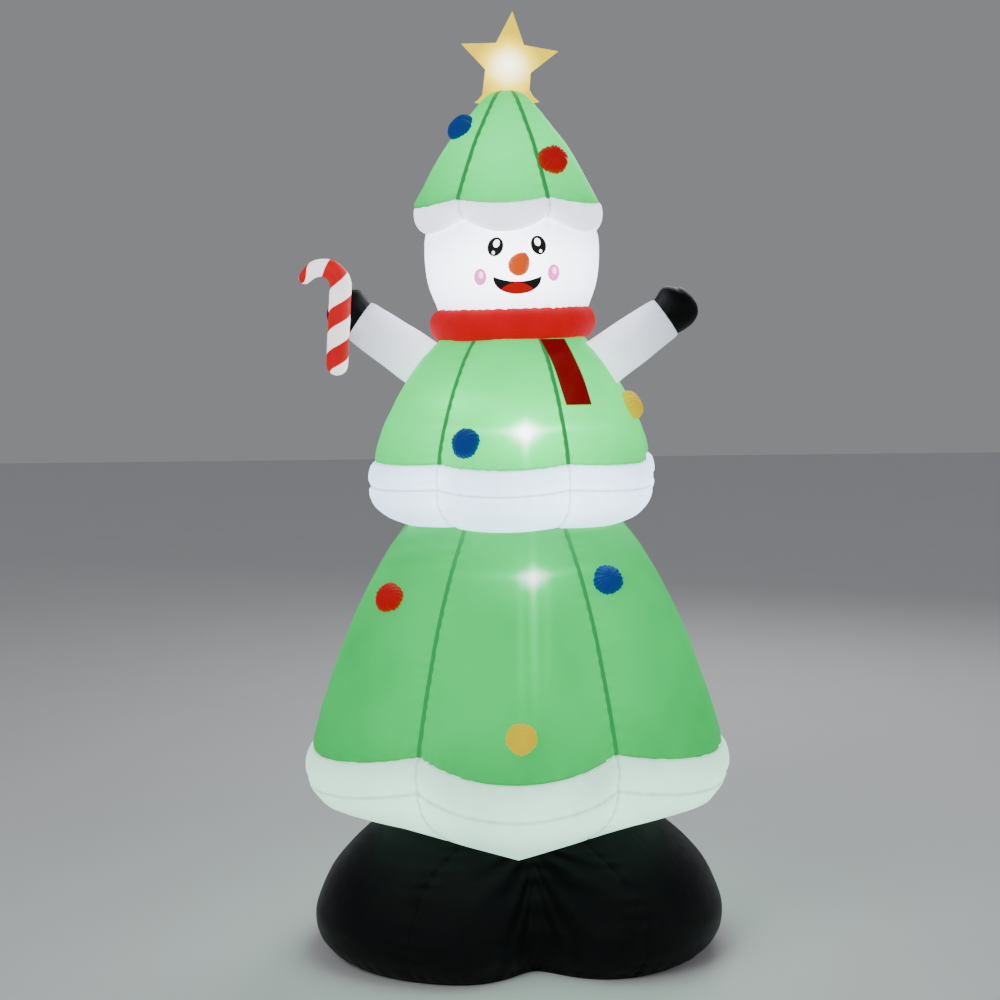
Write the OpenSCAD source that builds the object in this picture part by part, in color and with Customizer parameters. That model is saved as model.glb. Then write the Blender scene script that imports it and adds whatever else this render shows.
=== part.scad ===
// Inflatable yard snowman in a three-tier tree costume, 2.44 m tall.
// Sewn polyester skins, a fan in the rear panel, and a lamp string inside.
// Origin on the body axis at ground level; the figure faces -Y; millimetres.

/* [Fabric] */
// Thickness of a sewn fabric skin
fabric_t = 1.5; // [1:0.1:2.5]
// Gap that the stitching takes between neighbouring panels
seam_gap = 0.6; // [0.4:0.1:1.5]
// Share of the radius by which a panel seam is pulled in
lobe = 0.16; // [0.05:0.01:0.2]

/* [Skirt] */
// Height of the skirt's hem at a seam
skirt_hem_z = 619; // [609:1:629]
// Largest radius of the skirt's panels, at the hem
skirt_hem_r = 571; // [565:1:577]
// How far a panel hangs below its seams
skirt_hang = 30; // [0:1:36]

/* [Coat] */
// Height of the coat's hem at a seam
coat_hem_z = 1318; // [1312:1:1324]
// Largest radius of the coat's panels, at the hem
coat_hem_r = 380; // [376:1:386]
// How far a panel hangs below its seams
coat_hang = 6; // [0:1:12]
// Turn of the coat about the body axis
coat_turn = -5.5; // [-10:0.5:5]

/* [Hat] */
// Height of the hat's hem at a seam
hat_hem_z = 1968; // [1964:1:1972]
// Largest radius of the hat's panels, at the hem
hat_hem_r = 254; // [250:1:258]
// How far a panel hangs below its seams
hat_hang = 16; // [0:1:20]
// Turn of the hat about the body axis
hat_turn = -3.5; // [-10:0.5:5]

/* [Head] */
// Largest radius of the head
head_r = 225; // [222:1:228]
// Turn of the face towards the right arm of the picture
face_turn = 4; // [0:0.5:8]

/* [Arms] */
// Radius of a sleeve at the shoulder
sleeve_r = 66; // [60:1:68]
// Radius of a sleeve at the wrist
wrist_r = 57; // [52:1:60]
// Rise of the arms above the horizontal
arm_rise = 35; // [30:1:38]

/* [Candy cane] */
// Radius of the cane's tube
cane_r = 28; // [24:1:30]
// Radius of the hook's centre line
hook_r = 46; // [40:1:50]
// Length of the straight stick
cane_stick = 195; // [180:5:210]

/* [Star] */
// Radius of the star's points
star_r = 131; // [120:1:134]
// Radius of the star's notches
star_notch_r = 64; // [55:1:70]
// Half depth of the stuffed star
star_depth = 42; // [36:1:48]

/* [Ornaments] */
// Radius of a stuffed ornament
ball_r = 38; // [32:1:40]
// Depth of a stuffed ornament
ball_depth = 26; // [18:1:30]

/* [Base] */
// Half width of the pair of boots
base_half_x = 545; // [530:1:550]
// Half depth of the pair of boots
base_half_y = 380; // [370:1:390]

/* [Fan] */
// Height of the fan's axis
fan_z = 165; // [150:1:180]
// Outer radius of the fan's housing
housing_r = 72; // [70:0.5:73]
// Number of blades on the impeller
blades = 7; // [5:1:9]

/* [Zip] */
// Length of the deflation zip
zip_len = 240; // [200:5:250]

/* [Hidden] */

fn_round = 64;
gores = 6;
pitch = 360 / gores;
cols = 7;
white = "#f4f6f7";
green = "#7fe3a0";
red = "#c8171e";
black = "#1b1c1f";

// Each tier lists [radius at mid panel, height] from its top down.
skirt_rows = [
    [300, 1146], [375, 1050], [450, 925], [560, 660], [skirt_hem_r, skirt_hem_z]];
coat_rows = [
    [172, 1648], [196, 1622], [245, 1575], [300, 1500],
    [342, 1425], [374, 1350], [coat_hem_r, coat_hem_z]];
hat_rows = [
    [70, 2210], [120, 2165], [165, 2112], [222, 2030], [hat_hem_r, hat_hem_z]];

// A white band adds to each row how far it hangs at mid panel, and how far it
// dips at the middle of the front and back.
skirt_upper_rows = [
    [skirt_hem_r + 1, skirt_hem_z - 1, skirt_hang, 0],
    [587, 585, skirt_hang, 0], [586, 548, skirt_hang, 0]];
skirt_lower_rows = [
    [585, 546, skirt_hang, 0], [573, 508, 22, 5], [545, 466, 13, 12],
    [480, 424, 5, 24], [411, 394, 0, 35], [250, 358, 0, 0]];
coat_upper_rows = [
    [coat_hem_r + 1, coat_hem_z - 1, coat_hang, 0],
    [392, 1285, coat_hang, 0], [392, 1258, coat_hang, 0]];
coat_lower_rows = [
    [391, 1256, coat_hang, 0], [383, 1216, 4, 0], [356, 1180, 1, 0],
    [302, 1150, 0, 0]];
brim_rows = [
    [hat_hem_r + 1, hat_hem_z - 1, hat_hang, 0], [257, 1953, 19, 0],
    [252, 1938, 26, 0], [243, 1927, 31, 0], [229, 1922, 33, 0]];

// [rows, turn, pull of the seams, hang of the hem]
skirt = [skirt_rows, 0, lobe, skirt_hang];
skirt_upper = [skirt_upper_rows, 0, lobe];
skirt_lower = [skirt_lower_rows, 0, lobe];
coat = [coat_rows, coat_turn, lobe, coat_hang];
coat_upper = [coat_upper_rows, coat_turn, lobe];
coat_lower = [coat_lower_rows, coat_turn, lobe];
hat = [hat_rows, hat_turn, lobe * 0.8, hat_hang];
brim = [brim_rows, hat_turn, lobe * 0.8];

// A direction round the axis: 0 faces the front, positive goes towards +X.
function polar(r, az, z) = [r * sin(az), -r * cos(az), z];

// 0 at a seam and 1 in the middle of a panel.
function puff(tier, az) =
    let (a = (az - tier[1]) / pitch + 0.5) sin(180 * (a - floor(a)));

function lobed_r(tier, r, az) = r * (1 - tier[2] * (1 - puff(tier, az)));

// A panel hangs more and more towards its hem.
function panel_grid(tier, az_list, inset) =
    let (last = len(tier[0]) - 1)
    [for (i = [0:last]) [for (az = az_list) polar(
        lobed_r(tier, tier[0][i][0], az) - inset, az,
        tier[0][i][1] - tier[3] * pow(i / last, 3) * puff(tier, az))]];

// 1 at the middle of the front and back, and 0 from dip_half on.
dip_half = 60;
function dip(az) = max(0, 1 - abs(az - 180 * round(az / 180)) / dip_half);

function band_grid(tier, az_list, inset) =
    [for (row = tier[0]) [for (az = az_list) polar(
        lobed_r(tier, row[0], az) - inset, az,
        row[1] - row[2] * puff(tier, az) - row[3] * dip(az))]];

// Radius at mid panel at any height, between the tier's rows.
function tier_r(tier, z) = lookup(z, [for (p = tier[0]) [p[1], p[0]]]);
function on_tier(tier, az, z, lift = 0) =
    polar(lobed_r(tier, tier_r(tier, z), az) + lift, az, z);

function unit(v) = v / norm(v);

// A thin skin between two grids of points of the same size.
module skin(outer, inner, ring = false) {
    rows = len(outer);
    n = len(outer[0]);
    last = ring ? n - 1 : n - 2;
    points = concat([for (row = outer) each row], [for (row = inner) each row]);
    function at(side, i, j) = side * rows * n + i * n + (j % n);
    function quad(a, b, c, d) = [[a, b, c], [a, c, d]];
    walls = [for (i = [0:rows - 2], j = [0:last]) each concat(
        quad(at(0, i, j), at(0, i, j + 1), at(0, i + 1, j + 1), at(0, i + 1, j)),
        quad(at(1, i, j), at(1, i + 1, j), at(1, i + 1, j + 1), at(1, i, j + 1)))];
    rims = [for (j = [0:last]) each concat(
        quad(at(0, 0, j), at(1, 0, j), at(1, 0, j + 1), at(0, 0, j + 1)),
        quad(at(0, rows - 1, j), at(0, rows - 1, j + 1),
             at(1, rows - 1, j + 1), at(1, rows - 1, j)))];
    ends = ring ? [] : [for (i = [0:rows - 2]) each concat(
        quad(at(0, i, 0), at(0, i + 1, 0), at(1, i + 1, 0), at(1, i, 0)),
        quad(at(0, i, n - 1), at(1, i, n - 1),
             at(1, i + 1, n - 1), at(0, i + 1, n - 1)))];
    polyhedron(points, concat(walls, rims, ends));
}

// One panel of a tier: number 1 faces the front, the rest follow towards +X.
module gore(tier, number) {
    middle = tier[1] + (number - 1) * pitch;
    half = pitch / 2 - seam_gap / 2 / tier[0][0][0] * 180 / PI;
    az_list = [for (j = [0:cols]) middle + half * (2 * j / cols - 1)];
    skin(panel_grid(tier, az_list, 0), panel_grid(tier, az_list, fabric_t));
}

// A band that runs all the way round a tier.
module band(tier) {
    az_list = [for (j = [0:gores * cols - 1])
        tier[1] + pitch / 2 + j * pitch / cols];
    skin(band_grid(tier, az_list, 0), band_grid(tier, az_list, fabric_t), true);
}

module skirt_gore(number) { color(green) gore(skirt, number); }
module coat_gore(number) { color(green) gore(coat, number); }
module hat_gore(number) { color(green) gore(hat, number); }
module skirt_trim_upper() { color(white) band(skirt_upper); }
module skirt_trim_lower() { color(white) band(skirt_lower); }
module coat_trim_upper() { color(white) band(coat_upper); }
module coat_trim_lower() { color(white) band(coat_lower); }

// A ring of C-shaped section that is open towards the axis.
module puffed_ring(centre_r, centre_z, half_r, half_z, sweep) {
    steps = 12;
    function arc(inset) = [for (k = [0:steps])
        let (a = -sweep + 2 * sweep * k / steps)
        [centre_r + (half_r - inset) * cos(a),
         centre_z + (half_z - inset) * sin(a)]];
    outer = arc(0);
    inner = arc(fabric_t);
    rotate_extrude($fn = fn_round)
        polygon(concat(outer, [for (k = [steps:-1:0]) inner[k]]));
}

module hat_brim() { color(white) band(brim); }
module scarf_ring() { color(red) puffed_ring(187, 1662, 30, 42, 60); }

head_rows = [
    [178, 1656], [197, 1704], [218, 1766], [head_r, 1836], [219, 1896],
    [182, 1928]];

module head() {
    color(white) rotate_extrude($fn = fn_round)
        polygon(concat(head_rows, [for (k = [len(head_rows) - 1:-1:0])
            [head_rows[k][0] - fabric_t, head_rows[k][1]]]));
}

// Carrot nose: a blunt cone that stands off the face and points up a little.
nose_r = 25;
nose_tip_r = 9;
nose_tip = [7, 13, 35];
nose_z = 1812;

module nose() {
    color("#f26a1b")
        rotate([0, 0, face_turn]) translate([0, -head_r - 0.5, nose_z])
        rotate([90, 0, 0]) difference() {
            nose_form(0);
            nose_form(fabric_t);
        }
}

module nose_form(inset) {
    hull() {
        translate([0, 0, inset])
            cylinder(r = nose_r - inset, h = 4, $fn = fn_round);
        translate(nose_tip)
            sphere(r = nose_tip_r - inset, $fn = fn_round);
    }
}

// The scarf's end lies on the coat, just to the right of a seam.
tail_az = 33;
tail_half = 27;
tail_rows = [1612, 1575, 1537, 1500, 1462];

module scarf_tail() {
    function grid(lift) = [for (z = tail_rows)
        let (half = tail_half / tier_r(coat, z) * 180 / PI)
        [for (j = [-1:1]) on_tier(coat, tail_az + j * half, z, lift)]];
    color("#8f1218") skin(grid(8), grid(5));
}

// Arms: each runs out from the shoulder and up by arm_rise.
shoulder_x = 246;
shoulder_z = 1566;
sleeve_len = 184;
mitten_len = 84;
thumb_r = 20;

module arm_frame(side) {
    translate([side * shoulder_x, 0, shoulder_z])
        rotate([0, side * (90 - arm_rise), 0]) children();
}

module sleeve(side) {
    color(white) arm_frame(side) difference() {
        cylinder(r1 = sleeve_r, r2 = wrist_r, h = sleeve_len, $fn = fn_round);
        translate([0, 0, -1])
            cylinder(r1 = sleeve_r - fabric_t, r2 = wrist_r - fabric_t,
                     h = sleeve_len + 2, $fn = fn_round);
    }
}

// A rounded mitten; its thumb points up and outwards.
module mitten_form(side, inset) {
    r = wrist_r - 4 - inset;
    straight = mitten_len - 44;
    cylinder(r = r, h = straight, $fn = fn_round);
    translate([0, 0, straight]) rotate_extrude($fn = fn_round)
        polygon(concat([[0, 0]], [for (k = [0:10])
            let (a = 9 * k) [r * cos(a), (44 - inset) * sin(a)]]));
    translate([-side * (r - 14), 0, straight - 6])
        sphere(r = thumb_r - inset, $fn = fn_round);
}

module mitten(side) {
    color(black) arm_frame(side) translate([0, 0, sleeve_len + seam_gap])
        difference() {
            mitten_form(side, 0);
            translate([0, 0, -0.01]) mitten_form(side, fabric_t);
        }
}

// Candy cane: a straight stick and a half-turn hook towards -X.
cane_pos = [-449, -94, 1562];
cane_lean = 4;

module cane_form(r) {
    sphere(r = r, $fn = fn_round);
    cylinder(r = r, h = cane_stick, $fn = fn_round);
    translate([-hook_r, 0, cane_stick]) {
        rotate([90, 0, 0]) rotate_extrude(angle = 180, $fn = fn_round)
            translate([hook_r, 0]) circle(r = r);
        translate([-hook_r, 0, 0]) sphere(r = r, $fn = fn_round);
    }
}

module candy_cane() {
    color("#e8414a") translate(cane_pos) rotate([0, cane_lean, 0])
        difference() {
            cane_form(cane_r);
            cane_form(cane_r - fabric_t);
        }
}

// Star: three free points above a trunk that runs down into the collar.
star_x = -3;
star_z = 2320;
star_tilt = 5;
trunk_x = -11;
trunk_half = 60;
trunk_z = 2243;

module star_form(scale_by, depth) {
    tips = [for (k = [-3:3])
        let (r = k % 2 == 0 ? star_r : star_notch_r,
             a = 90 - 36 * k - star_tilt)
        [r * cos(a), r * sin(a)]];
    trunk = trunk_x - star_x;
    outline = concat([[trunk - trunk_half, trunk_z - star_z]], tips,
                     [[trunk + trunk_half, trunk_z - star_z]]);
    n = len(outline);
    points = concat([for (p = outline) [p[0] * scale_by, 0, p[1] * scale_by]],
                    [[0, -depth, 0], [0, depth, 0]]);
    faces = [for (k = [0:n - 1]) each
        [[k, (k + 1) % n, n], [(k + 1) % n, k, n + 1]]];
    translate([star_x, 0, star_z]) polyhedron(points, faces);
}

module star() {
    color("#f7dd5a") difference() {
        star_form(1, star_depth);
        star_form(0.96, star_depth - 3);
        translate([0, 0, trunk_z - 20]) cylinder(r = 8, h = 40, $fn = fn_round);
    }
}

module star_collar() {
    color("#f7dd5a") difference() {
        translate([trunk_x / 2, 0, 2213])
            cylinder(r1 = 80, r2 = 64, h = 28, $fn = fn_round);
        translate([trunk_x / 2, 0, 2212])
            cylinder(r1 = 80 - fabric_t, r2 = 64 - fabric_t, h = 30,
                     $fn = fn_round);
    }
}

// Stuffed ornaments: [tier, direction, height].
red_places = [[skirt, -50, 985], [hat, 34.5, 2063]];
blue_places = [[skirt, 39.5, 1026], [coat, -19, 1375], [hat, -64, 2150]];
yellow_places = [[skirt, 1, 695], [coat, 67, 1448]];
ball_lift = 5;

module ornament() {
    difference() {
        ornament_form(0);
        translate([0, 0, fabric_t]) ornament_form(fabric_t);
    }
}

module ornament_form(inset) {
    rotate_extrude($fn = fn_round)
        polygon(concat([[0, 0]], [for (k = [0:8])
            let (a = 11.25 * k)
            [(ball_r - inset) * cos(a), (ball_depth - 2 * inset) * sin(a)]]));
}

// Stands its child on a tier, square to the tier's surface.
module on_surface(tier, az, z) {
    step = 2;
    p = on_tier(tier, az, z);
    across = unit(on_tier(tier, az + step, z) - on_tier(tier, az - step, z));
    up = on_tier(tier, az, z + step) - on_tier(tier, az, z - step);
    out = unit(cross(across, up));
    side = cross(out, across);
    q = p + out * ball_lift;
    multmatrix([
        [across[0], side[0], out[0], q[0]],
        [across[1], side[1], out[1], q[1]],
        [across[2], side[2], out[2], q[2]],
        [0, 0, 0, 1]]) children();
}

module ornaments(places, paint) {
    for (place = places)
        color(paint) on_surface(place[0], place[1], place[2]) ornament();
}

// Boots: one plump outline, pinched at the front between the two toes.
pinch_az = 10;
pinch_depth = 0.3;
pinch_width = 20;
panel_az = 160;
boot_rows = [
    [0.5, 352], [0.64, 342], [0.75, 308], [0.85, 262], [0.94, 200], [0.99, 140],
    [1, 105], [0.98, 60], [0.92, 18], [0.88, 3]];

function base_r(az) =
    let (p = 2.4,
         oval = pow(pow(abs(sin(az)) / base_half_x, p)
                    + pow(abs(cos(az)) / base_half_y, p), -1 / p),
         off = (az - pinch_az) / pinch_width)
    oval * (1 - pinch_depth * exp(-off * off));

// Towards the rear panel the boots are squared off, to meet its edges.
square_az = 140;
function boot_r(az, share) =
    let (k = min(1, max(0, (abs(az) - square_az) / (panel_az - square_az))))
    base_r(az) * share * (1 - k) + panel_y / cos(180 - abs(az)) * k;

module boot(az_from, az_to, steps) {
    az_list = [for (j = [0:steps]) az_from + (az_to - az_from) * j / steps];
    function grid(inset) = [for (row = boot_rows) [for (az = az_list)
        polar(boot_r(az, row[0]) - inset, az, row[1])]];
    skin(grid(0), grid(fabric_t));
}

module boot_left() { color(black) boot(-panel_az, pinch_az - 0.1, 24); }
module boot_right() { color(black) boot(pinch_az + 0.1, panel_az, 22); }

module base_sole() {
    color("#26272a") linear_extrude(height = 2.5)
        polygon([for (az = [0:6:354])
            let (p = polar(boot_r(az > 180 ? az - 360 : az, 0.88), az, 0))
            [p[0], p[1]]]);
}

// The flat rear panel carries the fan between two clamped rings.
panel_y = 373;
panel_half = 132;
panel_top = 340;
panel_low = 4;
panel_hole_r = 74;
clamp_r = 92;
screw_pcd_r = 84;
screw_r = 2;
screw_hole_r = 2.2;
screws = 8;
gap = 0.3;

// Local +Z runs out of the back of the figure along the fan's axis.
module fan_frame() { translate([0, panel_y, fan_z]) rotate([-90, 0, 0]) children(); }

module at_screws() {
    for (k = [0:screws - 1]) rotate([0, 0, (k + 0.5) * 360 / screws])
        translate([screw_pcd_r, 0, 0]) children();
}

module screw_holes() {
    at_screws() translate([0, 0, -15]) cylinder(r = screw_hole_r, h = 30, $fn = 24);
}

inlet_pos = [0, 112, 0];
inlet_r = 7;

module fan_panel() {
    color(black) difference() {
        translate([-panel_half, panel_y - 2, panel_low])
            cube([2 * panel_half, 2, panel_top - panel_low]);
        fan_frame() {
            translate([0, 0, -10]) cylinder(r = panel_hole_r, h = 20, $fn = fn_round);
            screw_holes();
            translate(inlet_pos + [0, 0, -10])
                cylinder(r = inlet_r + gap, h = 20, $fn = 32);
        }
    }
}

housing_depth = 96;
housing_wall = 2.5;
flange_t = 3;
flange_top = -2 - gap;

module fan_housing() {
    color("#2c2e33") fan_frame() difference() {
        union() {
            translate([0, 0, flange_top - flange_t])
                cylinder(r = clamp_r, h = flange_t, $fn = fn_round);
            translate([0, 0, -housing_depth])
                cylinder(r = housing_r, h = housing_depth, $fn = fn_round);
        }
        translate([0, 0, -housing_depth - 1])
            cylinder(r = housing_r - housing_wall, h = housing_depth + 2,
                     $fn = fn_round);
        screw_holes();
    }
}

ring_t = 3.5;

module clamp_ring() {
    color("#3a3d42") fan_frame() difference() {
        translate([0, 0, gap]) cylinder(r = clamp_r, h = ring_t, $fn = fn_round);
        cylinder(r = panel_hole_r, h = 10, $fn = fn_round);
        screw_holes();
    }
}

module clamp_screws() {
    color("silver") fan_frame() at_screws() {
        translate([0, 0, -9]) cylinder(r = screw_r, h = 9 + gap + ring_t, $fn = 24);
        translate([0, 0, gap + ring_t]) cylinder(r1 = 3.8, r2 = 2.6, h = 2, $fn = 24);
    }
}

nut_t = 2.6;

module clamp_nuts() {
    color("silver") fan_frame() at_screws()
        translate([0, 0, flange_top - flange_t - nut_t]) difference() {
            cylinder(r = 3.9, h = nut_t, $fn = 6);
            translate([0, 0, -1]) cylinder(r = screw_r + 0.05, h = nut_t + 2, $fn = 24);
        }
}

grille_r = housing_r - housing_wall - 0.4;
grille_bar = 2.2;

// A round guard: concentric rings, a centre plate and spokes.
module guard(thickness, centre_r, ring_count, spokes) {
    pitch_r = (grille_r - centre_r) / ring_count;
    linear_extrude(height = thickness) {
        circle(r = centre_r, $fn = fn_round);
        for (k = [1:ring_count]) difference() {
            circle(r = centre_r + k * pitch_r, $fn = fn_round);
            circle(r = centre_r + k * pitch_r - grille_bar, $fn = fn_round);
        }
        for (k = [0:spokes - 1]) rotate(k * 360 / spokes)
            translate([centre_r - 2, -1.5])
            square([grille_r - centre_r + 1, 3]);
    }
}

outlet_z = -88;
motor_r = 21;
motor_len = 42;
motor_front = outlet_z + 4 + motor_len;
shaft_r = 2.5;

module intake_grille() {
    color("#2c2e33") fan_frame() translate([0, 0, -3]) guard(3, 10, 6, 6);
}

module outlet_grille() {
    color("#2c2e33") fan_frame() translate([0, 0, outlet_z]) guard(4, 24, 3, 6);
}

module fan_motor() {
    color("#8d9299") fan_frame() difference() {
        union() {
            translate([0, 0, outlet_z + 4])
                cylinder(r = motor_r, h = motor_len, $fn = fn_round);
            translate([0, 0, motor_front]) cylinder(r = 7, h = 3, $fn = fn_round);
        }
        translate([0, 0, motor_front - 30])
            cylinder(r = shaft_r + 0.06, h = 40, $fn = 32);
    }
}

shaft_low = motor_front - 29;
shaft_high = -14;

module motor_shaft() {
    color("silver") fan_frame() translate([0, 0, shaft_low])
        cylinder(r = shaft_r, h = shaft_high - shaft_low, $fn = 32);
}

hub_r = 15;
hub_low = -36;
hub_high = -16;
blade_r = 65;
blade_slant = 38;

module impeller() {
    color("#e9ecef") fan_frame() difference() {
        union() {
            translate([0, 0, hub_low])
                cylinder(r = hub_r, h = hub_high - hub_low, $fn = fn_round);
            for (k = [0:blades - 1]) rotate([0, 0, k * 360 / blades])
                translate([hub_r - 3, 0, (hub_low + hub_high) / 2])
                rotate([blade_slant, 0, 0]) translate([0, -11, -1])
                cube([blade_r - hub_r, 22, 2]);
        }
        translate([0, 0, hub_low - 1])
            cylinder(r = shaft_r, h = hub_high - hub_low + 2, $fn = 32);
    }
}

module power_inlet() {
    color("#2c2e33") fan_frame() translate(inlet_pos) {
        difference() {
            union() {
                translate([0, 0, -14]) cylinder(r = inlet_r, h = 14 + gap, $fn = 32);
                translate([0, 0, gap]) cylinder(r = 10, h = 2.4, $fn = 32);
            }
            translate([0, 0, -11]) cylinder(r = 2.8, h = 30, $fn = 32);
        }
        translate([0, 0, -11]) cylinder(r = 1.05, h = 10, $fn = 24);
    }
}

// Lamp string: four lamps that hang near the axis.
lamps = [[46, 0, 990], [29, 0, 1376], [0, 0, 2060], [0, 0, 2318]];
lamp_r = 9;
lamp_h = 40;
lens_r = 14;
lens_h = 18;
wire_r = 2.2;

module lamp_bodies() {
    color("#e6e8ea") for (p = lamps) translate(p - [0, 0, lamp_h / 2])
        cylinder(r = lamp_r, h = lamp_h, $fn = 32);
}

module lamp_lenses() {
    color("#ffffff") for (p = lamps) translate(p - [0, 0, lens_h / 2])
        difference() {
            cylinder(r = lens_r, h = lens_h, $fn = 48);
            translate([0, 0, -1]) cylinder(r = lamp_r + 0.1, h = lens_h + 2, $fn = 32);
        }
}

// Routes of the lead, chosen by hand, from the fan up through the lamps.
wire_routes = [
    [[0, 330, 237.2], [0, 328, 258], [2, 300, 286], [6, 250, 316], [12, 215, 370],
     [22, 200, 470], [32, 155, 620], [42, 80, 780], [46, 20, 890], [46, 0, 940],
     [46, 0, 970]],
    [[46, 0, 1010], [46, 0, 1040], [48, -6, 1110], [46, -8, 1190],
     [38, -6, 1270], [30, 0, 1330], [29, 0, 1356]],
    [[29, 0, 1396], [29, 0, 1430], [30, 6, 1520], [22, 8, 1620], [12, 6, 1740],
     [4, 2, 1880], [0, 0, 1990], [0, 0, 2040]],
    [[0, 0, 2080], [0, 0, 2110], [2, 3, 2170], [1, 2, 2230], [0, 0, 2275],
     [0, 0, 2298]]];

// A round tube swept along a route, eight sides, one ring at each point.
module wire(route) {
    sides = 8;
    n = len(route);
    function along(k) = unit(route[min(k + 1, n - 1)] - route[max(k - 1, 0)]);
    rings = [for (k = [0:n - 1])
        let (t = k == 0 || k == n - 1 ? [0, 0, 1] : along(k),
             u = unit(cross(t, [0, 1, 0.3])), v = cross(t, u))
        [for (s = [0:sides - 1]) route[k]
            + wire_r * (cos(360 * s / sides) * u + sin(360 * s / sides) * v)]];
    points = [for (ring = rings) each ring];
    sleeve = [for (k = [0:n - 2], s = [0:sides - 1])
        let (a = k * sides + s, b = k * sides + (s + 1) % sides) each
        [[a, b, b + sides], [a, b + sides, a + sides]]];
    caps = [[for (s = [sides - 1:-1:0]) s],
            [for (s = [0:sides - 1]) (n - 1) * sides + s]];
    polyhedron(points, concat(sleeve, caps));
}

module lamp_wiring() {
    color("#d9dcdf") for (route = wire_routes) wire(route);
}

// Tapes across the tiers that carry the lower three lamps.
tape_places = [[0, 324], [1, 300], [2, 150]];

module lamp_tapes() {
    color(white) for (t = tape_places)
        translate([-t[1], lamp_r + 0.4, lamps[t[0]][2] + 11])
        cube([2 * t[1], 1, 8]);
}

// Deflation zip on the straight part of the skirt's rear panel.
zip_low_row = skirt_rows[3];
zip_high_row = skirt_rows[2];

// The rear panel's middle facet is flat; this is its distance from the axis.
function facet_y(r) =
    let (a = pitch / 2 / cols) lobed_r(skirt, r, 180 + a) * cos(a);

zip_run = zip_high_row[1] - zip_low_row[1];
zip_lean = atan2(facet_y(zip_low_row[0]) - facet_y(zip_high_row[0]), zip_run);
zip_start = 18;
chain_w = 5;
tape_w = 32;

// Local +Z climbs the panel, +Y stands out of it.
module zip_frame() {
    translate([0, facet_y(zip_low_row[0]), zip_low_row[1]])
        rotate([zip_lean, 0, 0]) translate([0, 1, zip_start]) children();
}

module zip_chain() {
    color("#3d9a5c") zip_frame() {
        translate([-tape_w / 2, 0, 0]) cube([tape_w, 1, zip_len]);
        translate([-chain_w / 2, 0.9, 0]) cube([chain_w, 1.6, zip_len]);
    }
}

slider_z = zip_len - 22;

module zip_slider() {
    color("silver") zip_frame() translate([0, 2.5 + gap, slider_z]) {
        difference() {
            union() {
                translate([-5.5, 0, -8]) cube([11, 2.2, 16]);
                for (x = [-5.5, 4.1]) translate([x, -1.1, -8]) cube([1.4, 1.2, 16]);
                for (x = [-3.2, 1.8]) translate([x, 2, -3]) cube([1.4, 4.6, 6]);
            }
            translate([-5, 4.3, 0]) rotate([0, 90, 0]) cylinder(r = 1.05, h = 10, $fn = 24);
        }
    }
}

module zip_pull() {
    color("silver") zip_frame() translate([0, 2.5 + gap + 4.3, slider_z]) {
        rotate([0, 90, 0]) translate([0, 0, -3.2])
            cylinder(r = 1, h = 6.4, $fn = 24);
        translate([-1.4, -0.9, -9]) cube([2.8, 1.8, 9.2]);
        translate([-4, -0.9, -34]) difference() {
            cube([8, 1.8, 26]);
            translate([2, -1, 3]) cube([4, 4, 8]);
        }
    }
}

// A folded webbing loop; local +X stands off the seam, +Z runs through the loop.
loop_out = 30;
loop_gap = 11;
webbing_t = 1.6;
webbing_w = 25;

module webbing_loop() {
    bend = loop_gap / 2 + webbing_t;
    linear_extrude(height = webbing_w, center = true) difference() {
        union() {
            translate([0, -bend]) square([loop_out - bend, 2 * bend]);
            translate([loop_out - bend, 0]) circle(r = bend, $fn = 48);
        }
        translate([webbing_t, -loop_gap / 2])
            square([loop_out - bend - webbing_t, loop_gap]);
        translate([loop_out - bend, 0]) circle(r = loop_gap / 2, $fn = 48);
    }
}

// Tether loops lean with the coat and clear the folds beside its seams.
tether_z = 1422;
tether_tilt = 22;
tether_lift = 5;

module tether_loops() {
    color("#1f6b3b") for (k = [1, 4])
        let (az = coat_turn + (k + 0.5) * pitch,
             p = on_tier(coat, az, tether_z, tether_lift))
        translate(p) rotate([0, -tether_tilt, az - 90]) webbing_loop();
}

// Stake loops at ground level: [direction of the place, heading of the loop].
stake_places = [[-100, 180], [100, 0], [-148, 90], [148, 90]];
stake_share = 0.905;
stake_lift = 5;

module stake_loops() {
    color(black) for (place = stake_places)
        let (az = place[0],
             p = polar(boot_r(az, stake_share) + stake_lift, az,
                       loop_gap / 2 + webbing_t))
        translate(p) rotate([0, 0, place[1]]) rotate([90, 0, 0]) webbing_loop();
}

for (k = [1:gores]) {
    skirt_gore(k);
    coat_gore(k);
    hat_gore(k);
}
skirt_trim_upper();
skirt_trim_lower();
coat_trim_upper();
coat_trim_lower();
hat_brim();
head();
nose();
scarf_ring();
scarf_tail();
sleeve(-1);  // sleeve_left
sleeve(1);  // sleeve_right
mitten(-1);  // mitten_left
mitten(1);  // mitten_right
candy_cane();
star();
star_collar();
ornaments(red_places, red);  // red_ornaments
ornaments(blue_places, "#1d4f9e");  // blue_ornaments
ornaments(yellow_places, "#f2c915");  // yellow_ornaments
boot_left();
boot_right();
base_sole();
fan_panel();
fan_housing();
clamp_ring();
clamp_screws();
clamp_nuts();
intake_grille();
outlet_grille();
fan_motor();
motor_shaft();
impeller();
power_inlet();
lamp_bodies();
lamp_lenses();
lamp_wiring();
lamp_tapes();
zip_chain();
zip_slider();
zip_pull();
tether_loops();
stake_loops();
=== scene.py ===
"""Inflatable yard snowman in a tree costume: the visible model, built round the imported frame."""
import math

import bmesh
import bpy
import numpy as np
from mathutils import Euler, Matrix, Vector


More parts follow.
